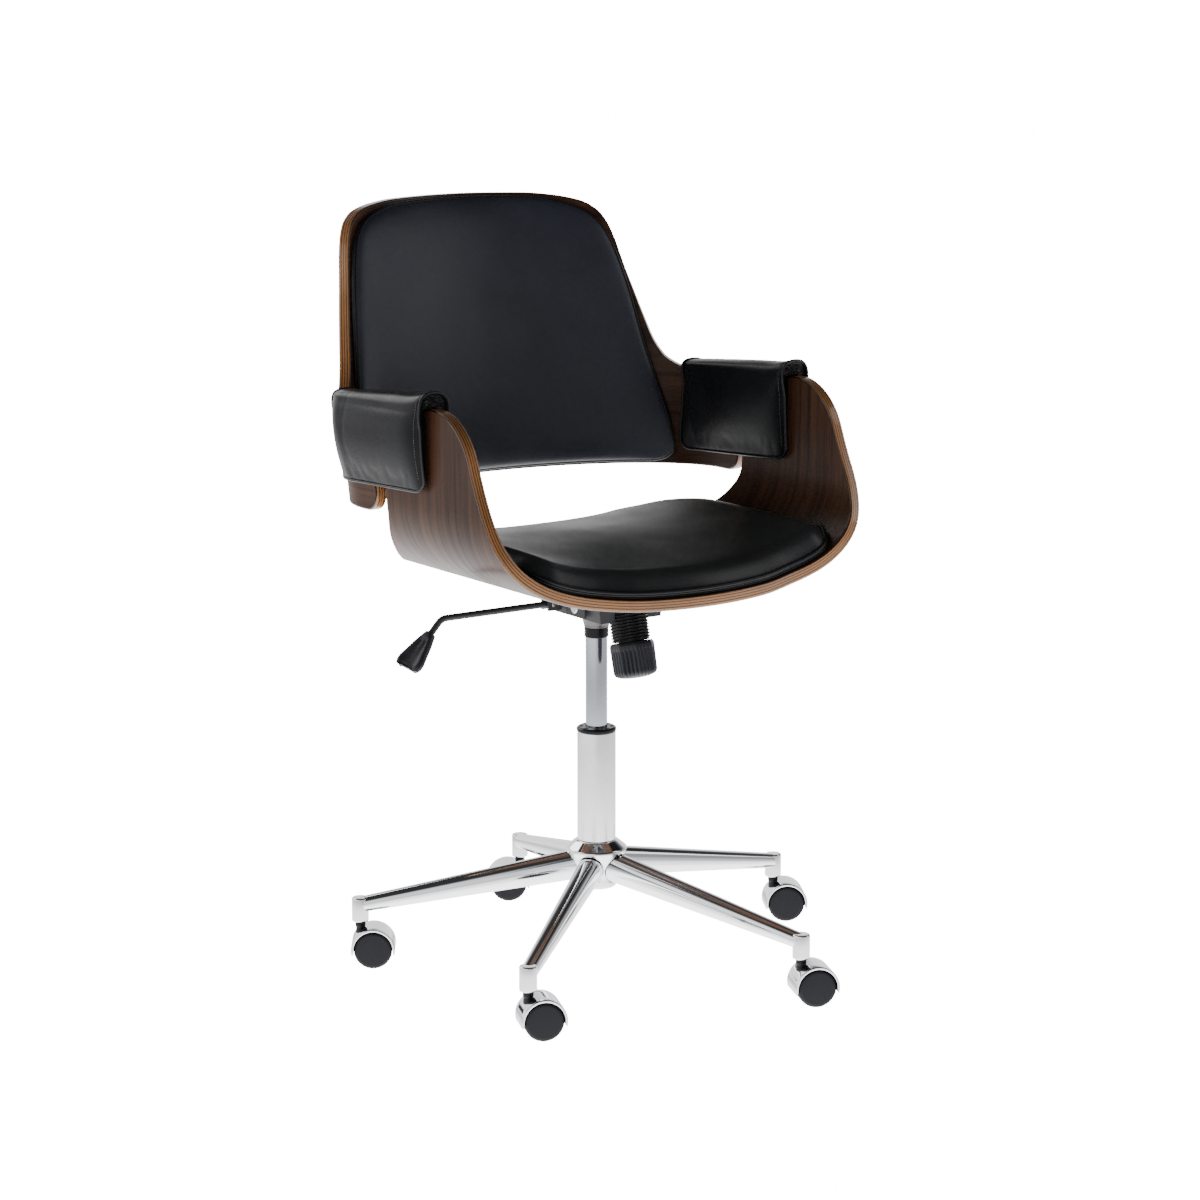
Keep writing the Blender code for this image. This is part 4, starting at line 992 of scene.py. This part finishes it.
def saddle(y, end, shrink=0.0):
    """A section of an arm pad: outer side, over the top, inner side, then back along the wood."""
    along = (y - ARM_PAD_Y[0]) / (ARM_PAD_Y[1] - ARM_PAD_Y[0])
    rounding = shrink + 0.014 * max(0.0, (end - 0.88) / 0.12) ** 2.0
    low_out = mixed(ARM_PAD_LOW_OUT, along) + rounding
    low_in = mixed(ARM_PAD_LOW_IN, along) + rounding
    under = mixed(ARM_PAD_UNDER, along)
    flare = 0.0040 * exp(-(((y - ARM_PAD_Y[0]) / 0.020) ** 2))
    top = under + mixed(ARM_PAD_RISE, along) * (1.0 - 0.12 * end**4) + flare - shrink

    def drawn(t):
        return 1.0 - end**10 * (0.28 + 0.42 * min(1.0, (1.0 - t) / 0.25))

    points = []
    steps = 26
    for k in range(steps):
        t = k / (steps - 1)
        z = low_out + (under - 0.004 - low_out) * t
        if t < 0.72:
            full = 0.26 + 0.74 * sin(pi / 2.0 * t / 0.72) ** 0.9
        else:
            full = 1.0 - 0.38 * ((t - 0.72) / 0.28) ** 2
        swell = (ARM_PAD_OUT - shrink) * drawn(t) * full
        points.append((wing_outer(y, z) + swell, z))
    out_x, out_z = points[-1]
    in_x = wing_inner(y, out_z) - (ARM_PAD_IN - shrink) * (1.0 - 0.28 * end**10)
    for k in range(1, 24):
        angle = pi * k / 24
        c, s = cos(angle), sin(angle)
        points.append((
            (out_x + in_x) / 2.0 + (out_x - in_x) / 2.0 * copysign(abs(c) ** 0.72, c),
            out_z + (top - out_z) * abs(s) ** 0.72,
        ))
    for k in range(steps):
        t = 1.0 - k / (steps - 1)
        z = low_in + (under - 0.004 - low_in) * t
        swell = (ARM_PAD_IN - shrink) * drawn(t) * (0.30 + 0.70 * sin(pi / 2.0 * t) ** 0.8)
        points.append((wing_inner(y, z) - swell, z))
    skin = len(points)
    for k in range(9):
        z = low_in + (under - low_in) * k / 8
        points.append((wing_inner(y, z) - 0.0003, z))
    for k in range(9):
        z = under + (low_out - under) * k / 8
        points.append((wing_outer(y, z) + 0.0003, z))
    return points, skin


def arm_form(name, side, count, inset, shrink):
    """An arm pad as a closed saddle with rolled-in ends. Also gives how free each point is to swell."""
    first, last = ARM_PAD_Y[0] + inset, ARM_PAD_Y[1] - inset
    rows = [(first + 0.0060, 1.0, shrink + 0.0034), (first + 0.0018, 1.0, shrink + 0.0024)]
    for k in range(count + 1):
        u = sin(pi / 2.0 * (2.0 * k / count - 1.0))
        rows.append(((first + last) / 2.0 + (last - first) / 2.0 * u, abs(u), shrink))
    rows += [(last - 0.0018, 1.0, shrink + 0.0024), (last - 0.0060, 1.0, shrink + 0.0034)]
    rings, free = [], []
    for y, end, less in rows:
        ring, skin = saddle(y, end, less)
        rings.append([(side * x, y, z) for x, z in ring])
        ends = min(1.0, (1.0 - end) / 0.12)
        free += [ends * max(0.0, min(1.0, i / 6.0, (skin - 1 - i) / 6.0)) for i in range(len(ring))]
    return thing_of(name, outward(loft(rings))), free


def creased(thing, side):
    """Soft creases in a pad's cover: one down its outer face, and gathers along its lower inner edge."""
    normals = [vert.normal.copy() for vert in thing.data.vertices]
    for vert, normal in zip(thing.data.vertices, normals):
        x, y, z = side * vert.co.x, vert.co.y, vert.co.z
        along = (y - ARM_PAD_Y[0]) / (ARM_PAD_Y[1] - ARM_PAD_Y[0])
        if x > SEAT_HALF + 0.004:
            line = 0.112 - 0.024 * max(0.0, (0.705 - z) / 0.055) ** 1.5
            vert.co -= normal * 0.0004 * exp(-(((y - line) / 0.0018) ** 2))
            low = mixed(ARM_PAD_LOW_OUT, along)
        else:
            low = mixed(ARM_PAD_LOW_IN, along)
        window = exp(-(((z - low - 0.014) / 0.013) ** 2)) * max(0.0, min(1.0, along / 0.15, (1.0 - along) / 0.15))
        fold = 1.0 - abs(noise.noise(Vector((y * 62.0, z * 24.0 + y * 18.0, 3.0 * side))))
        vert.co -= normal * 0.0009 * window * fold**6


for side, label in ((-1.0, "right"), (1.0, "left")):
    first, last = ARM_PAD_Y

    def held(point, side=side, first=first + 0.0032, last=last - 0.0032):
        x = side * point.x
        inside = wing_inner(point.y, point.z) - 0.0022
        outside = wing_outer(point.y, point.z) + 0.0022
        ends = point.y < first or point.y > last
        return ends or inside < x < outside and point.z < ARM_PAD_UNDER[0] + 0.0025

    blow = blown(arm_form("rough", side, 24, 0.0020, 0.0026)[0], 0.0042, held, 5.0, 16)
    pad, free = arm_form(f"arm_pad_{label}_leather", side, 64, 0.0010, 0.0008)
    filled(pad, free, blow, ARM_SWELL)
    creased(pad, side)
    dress(pad, ARM_LEATHER, "seat", [f"arm_pad_{label}"])

    def edge_of(y, end, side=side):
        ring, skin = saddle(y, end, 0.0006)
        return [(side * x, y, z) for x, z in ring[:skin]]

    # One cord round the whole cover: up and over each end and along both lower edges
    runs = [(first + (last - first) * k / 80.0, abs(2.0 * k / 80.0 - 1.0)) for k in range(2, 79)]
    path = edge_of(first, 0.985)
    path += [edge_of(y, end)[-1] for y, end in runs]
    path += edge_of(last, 0.985)[::-1]
    path += [edge_of(y, end)[0] for y, end in reversed(runs)]
    path = eased(even(path, 0.0025, True), 4)
    piece(f"arm_pad_{label}_piping", tube(path, 0.0017, True), [PIPING_LEATHER], "seat", (), 180.0)

    # Crumpled lining in the open front end, inside the arch of the cord
    under = ARM_PAD_UNDER[0]
    low_x = wing_inner(first, under) - 0.0085
    high_x = wing_outer(first, under) + 0.0050
    shape = bmesh.new()
    bmesh.ops.create_grid(shape, x_segments=70, y_segments=36, size=0.5)
    for vert in shape.verts:
        u, v = vert.co.x + 0.5, vert.co.y + 0.5
        arch = (1.0 - abs(2.0 * u - 1.0) ** 2.8) ** 0.5
        rough = noise.fractal(Vector((u * 6.0, v * 4.5, 3.0 * side)), 1.0, 2.0, 3)
        ridge = abs(noise.noise(Vector((u * 9.0 + 4.0, v * 5.0, side))))
        vert.co = Vector((
            side * (low_x + (high_x - low_x) * u),
            first + 0.0052 - 0.0016 * abs(rough) - 0.0040 * ridge,
            under - 0.001 + 0.0135 * arch * v,
        ))
    piece(f"arm_pad_{label}_lining", outward(shape), [LINING], "seat", (), 180.0)

    # A row of stitches beside the cord, round the front end
    ring, skin = saddle(first + 0.0065, 0.90, 0.0)
    path = laid(even([(side * x, first + 0.0065, z) for x, z in ring[4:skin - 4]], 0.0034), pad, 0.0002)
    stitches = [(tube([a.lerp(b, share) for share in (0.14, 0.5, 0.86)], 0.00045, False, 6), 0)
                for a, b in zip(path, path[1:])]
    joined(f"arm_pad_{label}_stitches", [THREAD], "seat", stitches, (), 180.0)

# Base: legs, hub and column


def leg_section(reach, grow, count):
    t = (reach - LEG_ROOT_R) / (LEG_REACH - LEG_ROOT_R)
    width = mixed(LEG_WIDTHS, t) + 2.0 * grow
    height = mixed(LEG_HEIGHTS, t) + 2.0 * grow
    middle = mixed(LEG_MIDDLES, t)
    return [(reach, y, middle + z) for y, z in squircle(width, height, 2.5, count)]


for k in range(5):
    reaches = [LEG_ROOT_R + (LEG_REACH - LEG_ROOT_R) * i / 24 for i in range(25)]
    arm = loft([leg_section(r, 0.0, 64) for r in reaches])
    socket = lathe(rounded([
        (0.0, SOCKET_TOP_Z), (SOCKET_R, SOCKET_TOP_Z), (SOCKET_R, SOCKET_BOTTOM_Z), (0.0062, SOCKET_BOTTOM_Z),
        (0.0062, SOCKET_BOTTOM_Z + 0.004), (0.0, SOCKET_BOTTOM_Z + 0.004),
    ], 0.0022, 5), 64)
    moved(socket, Matrix.Translation((LEG_REACH, 0.0, 0.0)))
    turn = about_z(LEG_FIRST_DEG + 72.0 * k)
    joined(f"leg_{k + 1}", [BASE_CHROME], "base", [(moved(arm, turn), 0), (moved(socket, turn), 0)],
           (f"base_leg_{k + 1}",), 50.0)

hub_outline = [
    (ROD_R + 0.0015, 0.168), (TUBE_R + 0.0012, 0.168), (0.040, 0.157), (0.0388, 0.151), (0.034, 0.143),
    (0.029, 0.132), (0.0268, 0.119), (0.026, 0.105), (ROD_R + 0.0015, 0.105), (ROD_R + 0.0015, 0.168),
]
hub_shape = lathe(rounded(hub_outline, 0.0035, 5), 144)
bmesh.ops.remove_doubles(hub_shape, verts=hub_shape.verts, dist=1e-6)
hub = piece("hub", outward(hub_shape), [BASE_CHROME], "base", ("base_hub",), 35.0)
for k in range(5):
    turn = about_z(LEG_FIRST_DEG + 72.0 * k)
    shape = outward(loft([leg_section(LEG_ROOT_R - 0.001, 0.0016, 48), leg_section(0.060, 0.0016, 48)]))
    pocket = thing_of("pocket", moved(shape, Matrix.Translation(AXIS) @ turn))
    cut = hub.modifiers.new("pocket", "BOOLEAN")
    cut.operation = "DIFFERENCE"
    cut.solver = "EXACT"
    cut.object = pocket
    bpy.context.view_layer.update()
    graph = bpy.context.evaluated_depsgraph_get()
    hub.data = bpy.data.meshes.new_from_object(hub.evaluated_get(graph))
    hub.modifiers.clear()
    bpy.data.objects.remove(pocket)
smoothed(hub.data)
hub.data.set_sharp_from_angle(angle=radians(32.0))

tube_profile = [(TUBE_R - 0.0025, TUBE_TOP_Z - 0.004), (TUBE_R - 0.0025, TUBE_TOP_Z), (TUBE_R, TUBE_TOP_Z),
                (TUBE_R, 0.1688), (TUBE_R - 0.0008, 0.1683)]
piece("tube_skin", lathe(rounded(tube_profile, 0.0006, 4), 128), [TUBE_CHROME], "base", ("column_tube",), 50.0)

cap_shape = lathe(rounded([
    (ROD_R + 0.0001, 0.3145), (ROD_R + 0.0001, 0.3180), (TUBE_R - 0.0012, 0.3180), (TUBE_R + 0.0008, 0.3165),
    (TUBE_R + 0.0008, 0.3123), (TUBE_R - 0.0022, 0.3123), (TUBE_R - 0.0022, 0.300),
], 0.0009), 160)
for vert in cap_shape.verts:
    radius = hypot(vert.co.x, vert.co.y)
    angle = atan2(vert.co.y, vert.co.x)
    if vert.co.z > 0.3170 and 0.0165 < radius < 0.0228 and cos(8.0 * angle) > 0.1:
        vert.co.z -= 0.0012
slots = []
for k in range(8):
    shape = bmesh.new()
    bmesh.ops.create_cube(shape, size=1.0)
    bmesh.ops.scale(shape, vec=(0.0042, 0.0060, 0.0009), verts=shape.verts)
    bmesh.ops.bevel(shape, geom=shape.edges[:], offset=0.0003, segments=2, affect="EDGES")
    slots.append((moved(shape, about_z(45.0 * k + 10.0) @ Matrix.Translation((0.0196, 0.0, 0.3179))), 1))
joined("column_cap", [RING_BLACK, SLEEVE_BLACK], "base", [(cap_shape, 0), *slots], ("column_guide",), 40.0)

rod_profile = rounded([(0.0, 0.487), (0.013, 0.487), (0.013, CONE_BOTTOM_Z - 0.0003),
                       (ROD_R, CONE_BOTTOM_Z - 0.0003), (ROD_R, 0.2155), (0.0, 0.2155)], 0.0008, 4)
piece("rod_skin", lathe(rod_profile, 128), [ROD_CHROME], "rod", ("column_rod",), 40.0)

# Casters

over_wheel = Matrix.Translation((TRAIL, 0.0, WHEEL_R))
along_y = Matrix.Rotation(pi / 2.0, 4, "X")


def band(sections, drop_deg, count):
    """Sweeps a (width, radius) outline over the wheels. sections(share) gives the outline along the arc."""
    rings = []
    for k in range(count + 1):
        angle = radians(-drop_deg + (180.0 + 2.0 * drop_deg) * k / count)
        c, s = cos(angle), sin(angle)
        rings.append([(r * c, y, r * s) for y, r in sections(k / count)])
    return loft(rings)


def hood_outline(share):
    """The chromed hood: a thin band with rolled side edges, which narrow to the tips."""
    tip = min(1.0, min(share, 1.0 - share) / 0.05)
    lip = 0.0009 + 0.0019 * sqrt(tip)
    top = HOOD_R
    half = HOOD_HALF
    points = [(-half + 0.0012, top - HOOD_T - 0.0004), (-half + 0.0009, top - lip),
              (-half + 0.0003, top - lip - 0.0004)]
    for k in range(5):
        a = radians(180.0 - 22.5 * k)
        points.append((-half + 0.0014 + 0.0014 * cos(a), top - 0.0014 + 0.0014 * sin(a)))
    for x in (-0.5, 0.0, 0.5):
        points.append((half * x, top))
    for k in range(5):
        a = radians(90.0 - 22.5 * k)
        points.append((half - 0.0014 + 0.0014 * cos(a), top - 0.0014 + 0.0014 * sin(a)))
    points += [(half - 0.0003, top - lip - 0.0004), (half - 0.0009, top - lip),
               (half - 0.0012, top - HOOD_T - 0.0004)]
    points += [(half * x, top - HOOD_T) for x in (0.5, 0.0, -0.5)]
    return points


def liner_outline(share):
    """The black liner under the hood, with the rib that the web hangs from."""
    top = HOOD_R - HOOD_T - 0.0004
    return [
        (-HOOD_HALF + 0.0012, top), (HOOD_HALF - 0.0012, top), (HOOD_HALF - 0.0012, top - 0.0010),
        (0.0040, top - 0.0010), (0.0038, top - 0.0055), (-0.0038, top - 0.0055), (-0.0040, top - 0.0010),
        (-HOOD_HALF + 0.0012, top - 0.0010),
    ]


wheel_profile = rounded([
    (0.0, WHEEL_WIDTH + 0.0001), (0.0205, WHEEL_WIDTH - 0.0004), (0.0228, WHEEL_WIDTH - 0.0011),
    (WHEEL_R, WHEEL_WIDTH - 0.0036), (WHEEL_R, 0.0006), (WHEEL_R - 0.0006, 0.0), (0.021, 0.0), (0.019, 0.0025),
    (0.0085, 0.0025), (0.0075, 0.0), (0.0032, 0.0),
], 0.0012, 4)

for k in range(5):
    leg_angle = radians(LEG_FIRST_DEG + 72.0 * k)
    name = f"caster_{k + 1}"
    spot = Matrix.Translation((LEG_REACH * cos(leg_angle), LEG_REACH * sin(leg_angle), 0.0))
    stand = spot @ about_z(CASTER_DEG[k])
    hood_shape = outward(band(hood_outline, HOOD_DROP_DEG, 56))
    piece(f"{name}_hood_chrome", moved(hood_shape, stand @ over_wheel), [HOOD_CHROME], name,
          (f"{name}_hood",), 50.0)
    liner_shape = band(liner_outline, HOOD_DROP_DEG - 3.0, 40)
    neck = lathe(rounded([
        (0.0, SOCKET_BOTTOM_Z + 0.0030), (0.0052, SOCKET_BOTTOM_Z + 0.0030), (0.0052, SOCKET_BOTTOM_Z - 0.0005),
        (0.0068, SOCKET_BOTTOM_Z - 0.0005), (0.0068, 0.0540), (0.0060, 0.0520), (0.0064, 0.0440), (0.0, 0.0440),
    ], 0.0008, 3), 40)
    web = lathe(rounded([(0.0, 0.0038), (0.0230, 0.0038), (0.0230, -0.0038), (0.0, -0.0038)], 0.001, 3), 48)
    for vert in web.verts:
        if vert.co.y > 0.004:
            vert.co.y = 0.004 + (vert.co.y - 0.004) * 0.15
    moved(web, along_y)
    shapes = [(moved(liner_shape, stand @ over_wheel), 0), (moved(neck, stand), 0),
              (moved(web, stand @ over_wheel), 0)]
    joined(f"{name}_fork", [CASTER_BLACK], name, shapes, (f"{name}_body",), 40.0)
    for sign, letter in ((-1.0, "a"), (1.0, "b")):
        wheel = lathe(wheel_profile, 72)
        moved(wheel, Matrix.Translation((0.0, 0.0, WHEEL_INNER)))
        moved(wheel, stand @ over_wheel @ Matrix.Rotation(-sign * pi / 2.0, 4, "X"))
        piece(f"{name}_wheel_{letter}_tyre", wheel, [WHEEL], f"wheel_{k + 1}{letter}",
              (f"{name}_wheel_{letter}",), 35.0)

# Mechanism: the sleeve's thread, the fluted knob, the lever's paddle and the small fasteners

knob_line = Matrix.Translation((0.0, KNOB_Y, KNOB_Z)) @ Matrix.Rotation(-radians(KNOB_LEAN_DEG), 4, "X")
rows = []
z = 0.0015
while z < SLEEVE_TOP:
    ring = []
    for j, (c, s) in enumerate(circle(72)):
        turn = (z / SLEEVE_PITCH - j / 72.0) % 1.0
        wave = 1.0 - abs(2.0 * turn - 1.0)
        sharp = max(0.0, (wave - 0.12) / 0.88) ** 1.1
        radius = SLEEVE_R - 0.0024 + 0.0024 * sharp * min(1.0, (z - 0.0015) / 0.002)
        ring.append((radius * c, radius * s, z))
    rows.append(ring)
    z += SLEEVE_PITCH / 10.0
sleeve = outward(loft(rows))
piece("thread_sleeve", moved(sleeve, knob_line), [SLEEVE_BLACK], "mechanism", ("tension_sleeve",), 60.0)


def knob_ring(scale, z, depth):
    points = []
    for k in range(256):
        angle = 2.0 * pi * k / 256
        within = (angle + pi / 8.0) % (pi / 4.0) - pi / 8.0
        corner = KNOB_R * cos(pi / 8.0) / cos(within)
        wave = 0.5 - 0.5 * cos(32.0 * angle)
        flute = depth * wave**2
        radius = (min(corner, KNOB_R - 0.0005) - flute) * scale
        points.append((radius * cos(angle), radius * sin(angle), z))
    return points


knob_shape = outward(loft([knob_ring(*ring) for ring in (
    (0.60, 0.0012, 0.0), (0.905, 0.0008, 0.0), (0.945, 0.0, 0.0), (0.995, -0.0028, 0.0), (1.0, -0.0040, 0.0),
    (0.999, -0.0085, 0.0002), (0.997, -0.0110, 0.0017), (0.985, -KNOB_H + 0.0020, 0.0019), (0.978, -KNOB_H, 0.0019),
    (0.935, -KNOB_H - 0.0028, 0.0019), (0.80, -KNOB_H - 0.0052, 0.0016), (0.60, -KNOB_H - 0.0068, 0.0010),
    (0.36, -KNOB_H - 0.0077, 0.0002), (0.10, -KNOB_H - 0.0080, 0.0),
)]))
piece("knob_grip", moved(knob_shape, knob_line), [KNOB_BLACK], "knob", ("tension_knob",), 34.0)

bend_r = 0.016
bend_end = Vector((LEVER_BEND_X - bend_r * sin(LEVER_DROP), 0.0, LEVER_Z - bend_r * (1.0 - cos(LEVER_DROP))))
down = Vector((-cos(LEVER_DROP), 0.0, -sin(LEVER_DROP)))
path = [(LEVER_X - 0.003, LEVER_Y, LEVER_Z), (LEVER_X - 0.04, LEVER_Y, LEVER_Z)]
for k in range(12):
    tilt = LEVER_DROP * k / 11
    path.append((LEVER_BEND_X - bend_r * sin(tilt), LEVER_Y, LEVER_Z - bend_r * (1.0 - cos(tilt))))
end = bend_end + down * 0.030
path.append((end.x, LEVER_Y, end.z))
rod_shape = tube(path, 0.0042, False, 28)
eye = lathe(rounded([(0.0, 0.0052), (0.0056, 0.0052), (0.0056, -0.0052), (0.0, -0.0052)], 0.0008, 3), 32)
pin = lathe(rounded([(0.0, 0.0088), (0.0030, 0.0088), (0.0030, -0.0088), (0.0, -0.0088)], 0.0004, 3), 24)
hinge = Matrix.Translation((LEVER_X, LEVER_Y, LEVER_Z)) @ along_y
joined("lever_bar", [STEEL_BLACK, ZINC], "lever", [(rod_shape, 0), (moved(eye, hinge), 0), (moved(pin, hinge), 1)],
       ("lever_rod",), 40.0)


def handle_half(t):
    """Half width and half depth of the lever's paddle along its length."""
    width = smooth(((0.0, 0.0062), (0.08, 0.0076), (0.27, 0.0118), (0.55, 0.0166), (0.82, 0.0205),
                    (1.0, 0.0194)), t)
    depth = smooth(((0.0, 0.0058), (0.10, 0.0064), (0.40, 0.0062), (0.85, 0.0058), (1.0, 0.0036)), t)
    return width, depth


rings = []
stations = 44
for k in range(stations + 1):
    t = k / stations
    width, depth = handle_half(t)
    ring = []
    for across, up in squircle(2.0, 2.0, 3.4, 72):
        rim = max(0.0, 1.0 - (abs(across) / 0.72) ** 4)
        dish = min(1.0, max(0.0, (t - 0.14) / 0.10)) * min(1.0, max(0.0, (1.0 - t) / 0.05))
        lift = up * depth
        if up > 0.3:
            spine = exp(-((across / 0.16) ** 2)) * max(0.0, 1.0 - t * 1.6)
            lift -= 0.0040 * dish * rim * (1.0 - spine)
        scallop = 0.0022 * (0.5 - 0.5 * cos(across * pi * 3.0)) * max(0.0, (t - 0.88) / 0.12)
        length = 0.054 * t - scallop
        centre = bend_end + down * (0.0165 + length)
        aside = across * width * cos(LEVER_TURN) - lift * sin(LEVER_TURN)
        lift = lift * cos(LEVER_TURN) + across * width * sin(LEVER_TURN)
        ring.append((centre.x - lift * sin(LEVER_DROP), LEVER_Y + aside, centre.z + lift * cos(LEVER_DROP)))
    rings.append(ring)
piece("lever_paddle", outward(loft(rings)), [KNOB_BLACK], "lever", ("lever_handle",), 42.0)

# Screws: kind, place, axis, radius, height, look and reach of the cross recess
screws = [("plate", (x, y, 0.5116), (0.0, 0.0, -1.0), 0.0058, 0.0032, STEEL_BLACK, 0.0035)
          for x in (-0.075, 0.075) for y in (-0.100, 0.062)]
for s in (-0.152, 0.152):
    out = seat_section.at(s)[1]
    screws += [("shell", seat_point(s, y), (out.x, 0.0, out.y), 0.0040, 0.0016, STEEL_BLACK, 0.0022)
               for y in (-0.120, -0.010)]
screws += [("strap", (side * 0.2657, y, z), (-side, 0.0, 0.0), 0.0042, 0.0018, ZINC, 0.0024)
           for side in (-1.0, 1.0) for y in (0.028, 0.048) for z in (0.686, 0.718)]
for number, (kind, spot, axis, radius, height, look, reach) in enumerate(screws, 1):
    profile = [(0.0, height), (radius * 0.55, height * 0.93), (radius * 0.85, height * 0.62), (radius, 0.0004),
               (radius, 0.0)]
    shape = lathe(rounded(profile, radius * 0.2, 3), 28)
    for vert in shape.verts:
        x, y = abs(vert.co.x), abs(vert.co.y)
        if hypot(x, y) < reach and min(x, y) < reach * 0.3:
            vert.co.z -= height * 0.45
    turn = Vector((0.0, 0.0, 1.0)).rotation_difference(Vector(axis)).to_matrix().to_4x4()
    piece(f"{kind}_screw_{number}", moved(shape, Matrix.Translation(spot) @ turn), [look], "seat")

# Solids that stay get softened edges and their finish

KEPT = {
    "mechanism_box": (STEEL_BLACK, 0.0018),
    "column_top_ring": (RING_BLACK, 0.0004),
    "lever_bracket": (STEEL_BLACK, 0.0008),
    "seat_plate": (STEEL_BLACK, 0.0008),
    "tilt_axle": (ZINC, 0.0004),
    "arm_strap_right": (STEEL_BLACK, 0.0006),
    "arm_strap_left": (STEEL_BLACK, 0.0006),
    **{f"caster_{k + 1}_axle": (ZINC, 0.0003) for k in range(5)},
}
for name, (look, width) in KEPT.items():
    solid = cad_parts[name]
    solid.data.materials.clear()
    solid.data.materials.append(look)
    for face in solid.data.polygons:
        face.material_index = 0
    if name == "mechanism_box":
        solid.data.materials.append(CAST_GREY)
        for face in solid.data.polygons:
            if (solid.matrix_world @ face.center).z < CONE_TOP_Z:
                face.material_index = 1
    soften(solid, width)

# Studio: pale sweep, soft lights and the camera

WORLD_FLOOR = ((0.0, 1.0), (0.22, 0.90), (0.33, 0.58), (0.42, 0.16), (0.52, 0.0))
WORLD_UPPER = ((0.38, 0.0), (0.50, 0.40), (0.66, 0.34), (0.74, 0.07), (0.81, 0.01), (1.0, 0.01))
WORLD_FRONT = ((0.0, 1.0), (0.50, 0.95), (0.76, 0.35), (1.0, 0.25))
WORLD_STRENGTH = 4.2
UPWARD = (0.0, 0.0, 0.5)
FRONT_RIGHT = (0.30, -0.40, 0.03)
CAMERA_SPOT = Vector((-2.2041, -3.1557, 1.262))
CAMERA_WAY = Vector((0.5622, 0.8029, -0.1982))


def hidden(thing, *rays):
    """Hides a thing of the studio from some kinds of rays."""
    for ray in rays:
        setattr(thing, "visible_" + ray, False)


shape = bmesh.new()
bmesh.ops.create_uvsphere(shape, u_segments=96, v_segments=64, radius=30.0)
for vert in shape.verts:
    vert.co.z = max(0.0, vert.co.z)
sweep = thing_of("studio_sweep", shape)
paper = Look("studio_paper", (0.93, 0.93, 0.93), 0.85, Specular_IOR_Level=0.1, Emission_Strength=16.0,
             Emission_Color=(1.0, 1.0, 1.0, 1.0))
cloud = paper.noise(paper.place(), 3.0, 2.0)
paper.rough(paper.range(cloud, 0.3, 0.7, 0.82, 0.9))
paper.colour(paper.ramp(cloud, [(0.3, 0.92), (0.7, 0.94)]))
sweep.data.materials.append(paper.mat)
hidden(sweep, "diffuse", "glossy", "shadow")

world = scene.world or bpy.data.worlds.new("studio")
scene.world = world
world.use_nodes = True
sky = Nodes(world.node_tree)
sky.tree.nodes.clear()


def vectors(kind, first, second, out="Vector"):
    return sky.add("VectorMath", out, first, second, settings={"operation": kind})


def lit(way, stops):
    """Light that depends on how far a direction points a given way, from 0 to 1."""
    share = sky.math("ADD", vectors("DOT_PRODUCT", spot, way, "Value"), 0.5)
    return sky.ramp(share, [(where, (shade, shade, shade * 1.015)) for where, shade in stops], "EASE")


# White floor, soft white ceiling, a dim wall at the horizon and a dark opening towards the front right
spot = sky.add("TexCoord", "Generated")
upper = vectors("MULTIPLY", lit(UPWARD, WORLD_UPPER), lit(FRONT_RIGHT, WORLD_FRONT))
back = sky.add("Background", "Background", vectors("ADD", upper, lit(UPWARD, WORLD_FLOOR)), WORLD_STRENGTH)
sky.put(sky.tree.nodes.new("ShaderNodeOutputWorld").inputs["Surface"], back)


def aimed(thing, where, way, axis):
    """Puts a light, a card or the camera in its place and turns one of its axes a given way."""
    thing.location = where
    thing.rotation_mode = "QUATERNION"
    thing.rotation_quaternion = way.to_track_quat(axis, "Y")
    return thing


def area_light(name, where, target, size, power):
    light = bpy.data.lights.new(name, "AREA")
    light.shape = "RECTANGLE"
    light.size, light.size_y = size
    light.energy = power
    lamp = bpy.data.objects.new(name, light)
    scene.collection.objects.link(lamp)
    aimed(lamp, where, Vector(target) - Vector(where), "-Z")


area_light("top_soft", (-0.9, 2.6, 2.3), (0.0, 0.0, 0.6), (2.4, 1.6), 46.0)
area_light("left_soft", (-2.6, 0.6, 1.7), (0.0, 0.0, 0.6), (1.2, 2.0), 7.0)
area_light("right_soft", (2.2, -1.4, 1.9), (0.0, 0.0, 0.6), (0.9, 1.8), 8.0)


def dark_card(name, where, target, size):
    """A black flag, seen only in reflections."""
    shape = bmesh.new()
    bmesh.ops.create_grid(shape, x_segments=1, y_segments=1, size=0.5)
    bmesh.ops.scale(shape, vec=(size[0], size[1], 1.0), verts=shape.verts)
    card = aimed(thing_of(name, shape), where, Vector(target) - Vector(where), "Z")
    flag = Look(name, (0.03, 0.03, 0.032), 0.9)
    flag.colour(flag.ramp(flag.noise(flag.place(), 2.0), [(0.3, 0.025), (0.7, 0.035)]))
    card.data.materials.append(flag.mat)
    hidden(card, "camera", "shadow", "diffuse")


dark_card("flag_front", (-1.9, -3.6, 1.9), (0.0, 0.0, 0.4), (2.2, 1.5))
dark_card("flag_right", (3.0, -0.6, 1.0), (0.0, 0.0, 0.3), (0.5, 1.6))
dark_card("flag_top", (0.5, -0.7, 3.4), (0.0, 0.0, 0.3), (1.2, 0.7))

lens = bpy.data.cameras.new("studio_camera")
lens.lens = 92.0
lens.sensor_width = 36.0
camera = bpy.data.objects.new("studio_camera", lens)
scene.collection.objects.link(camera)
aimed(camera, AXIS + CAMERA_SPOT, CAMERA_WAY, "-Z")
scene.camera = camera
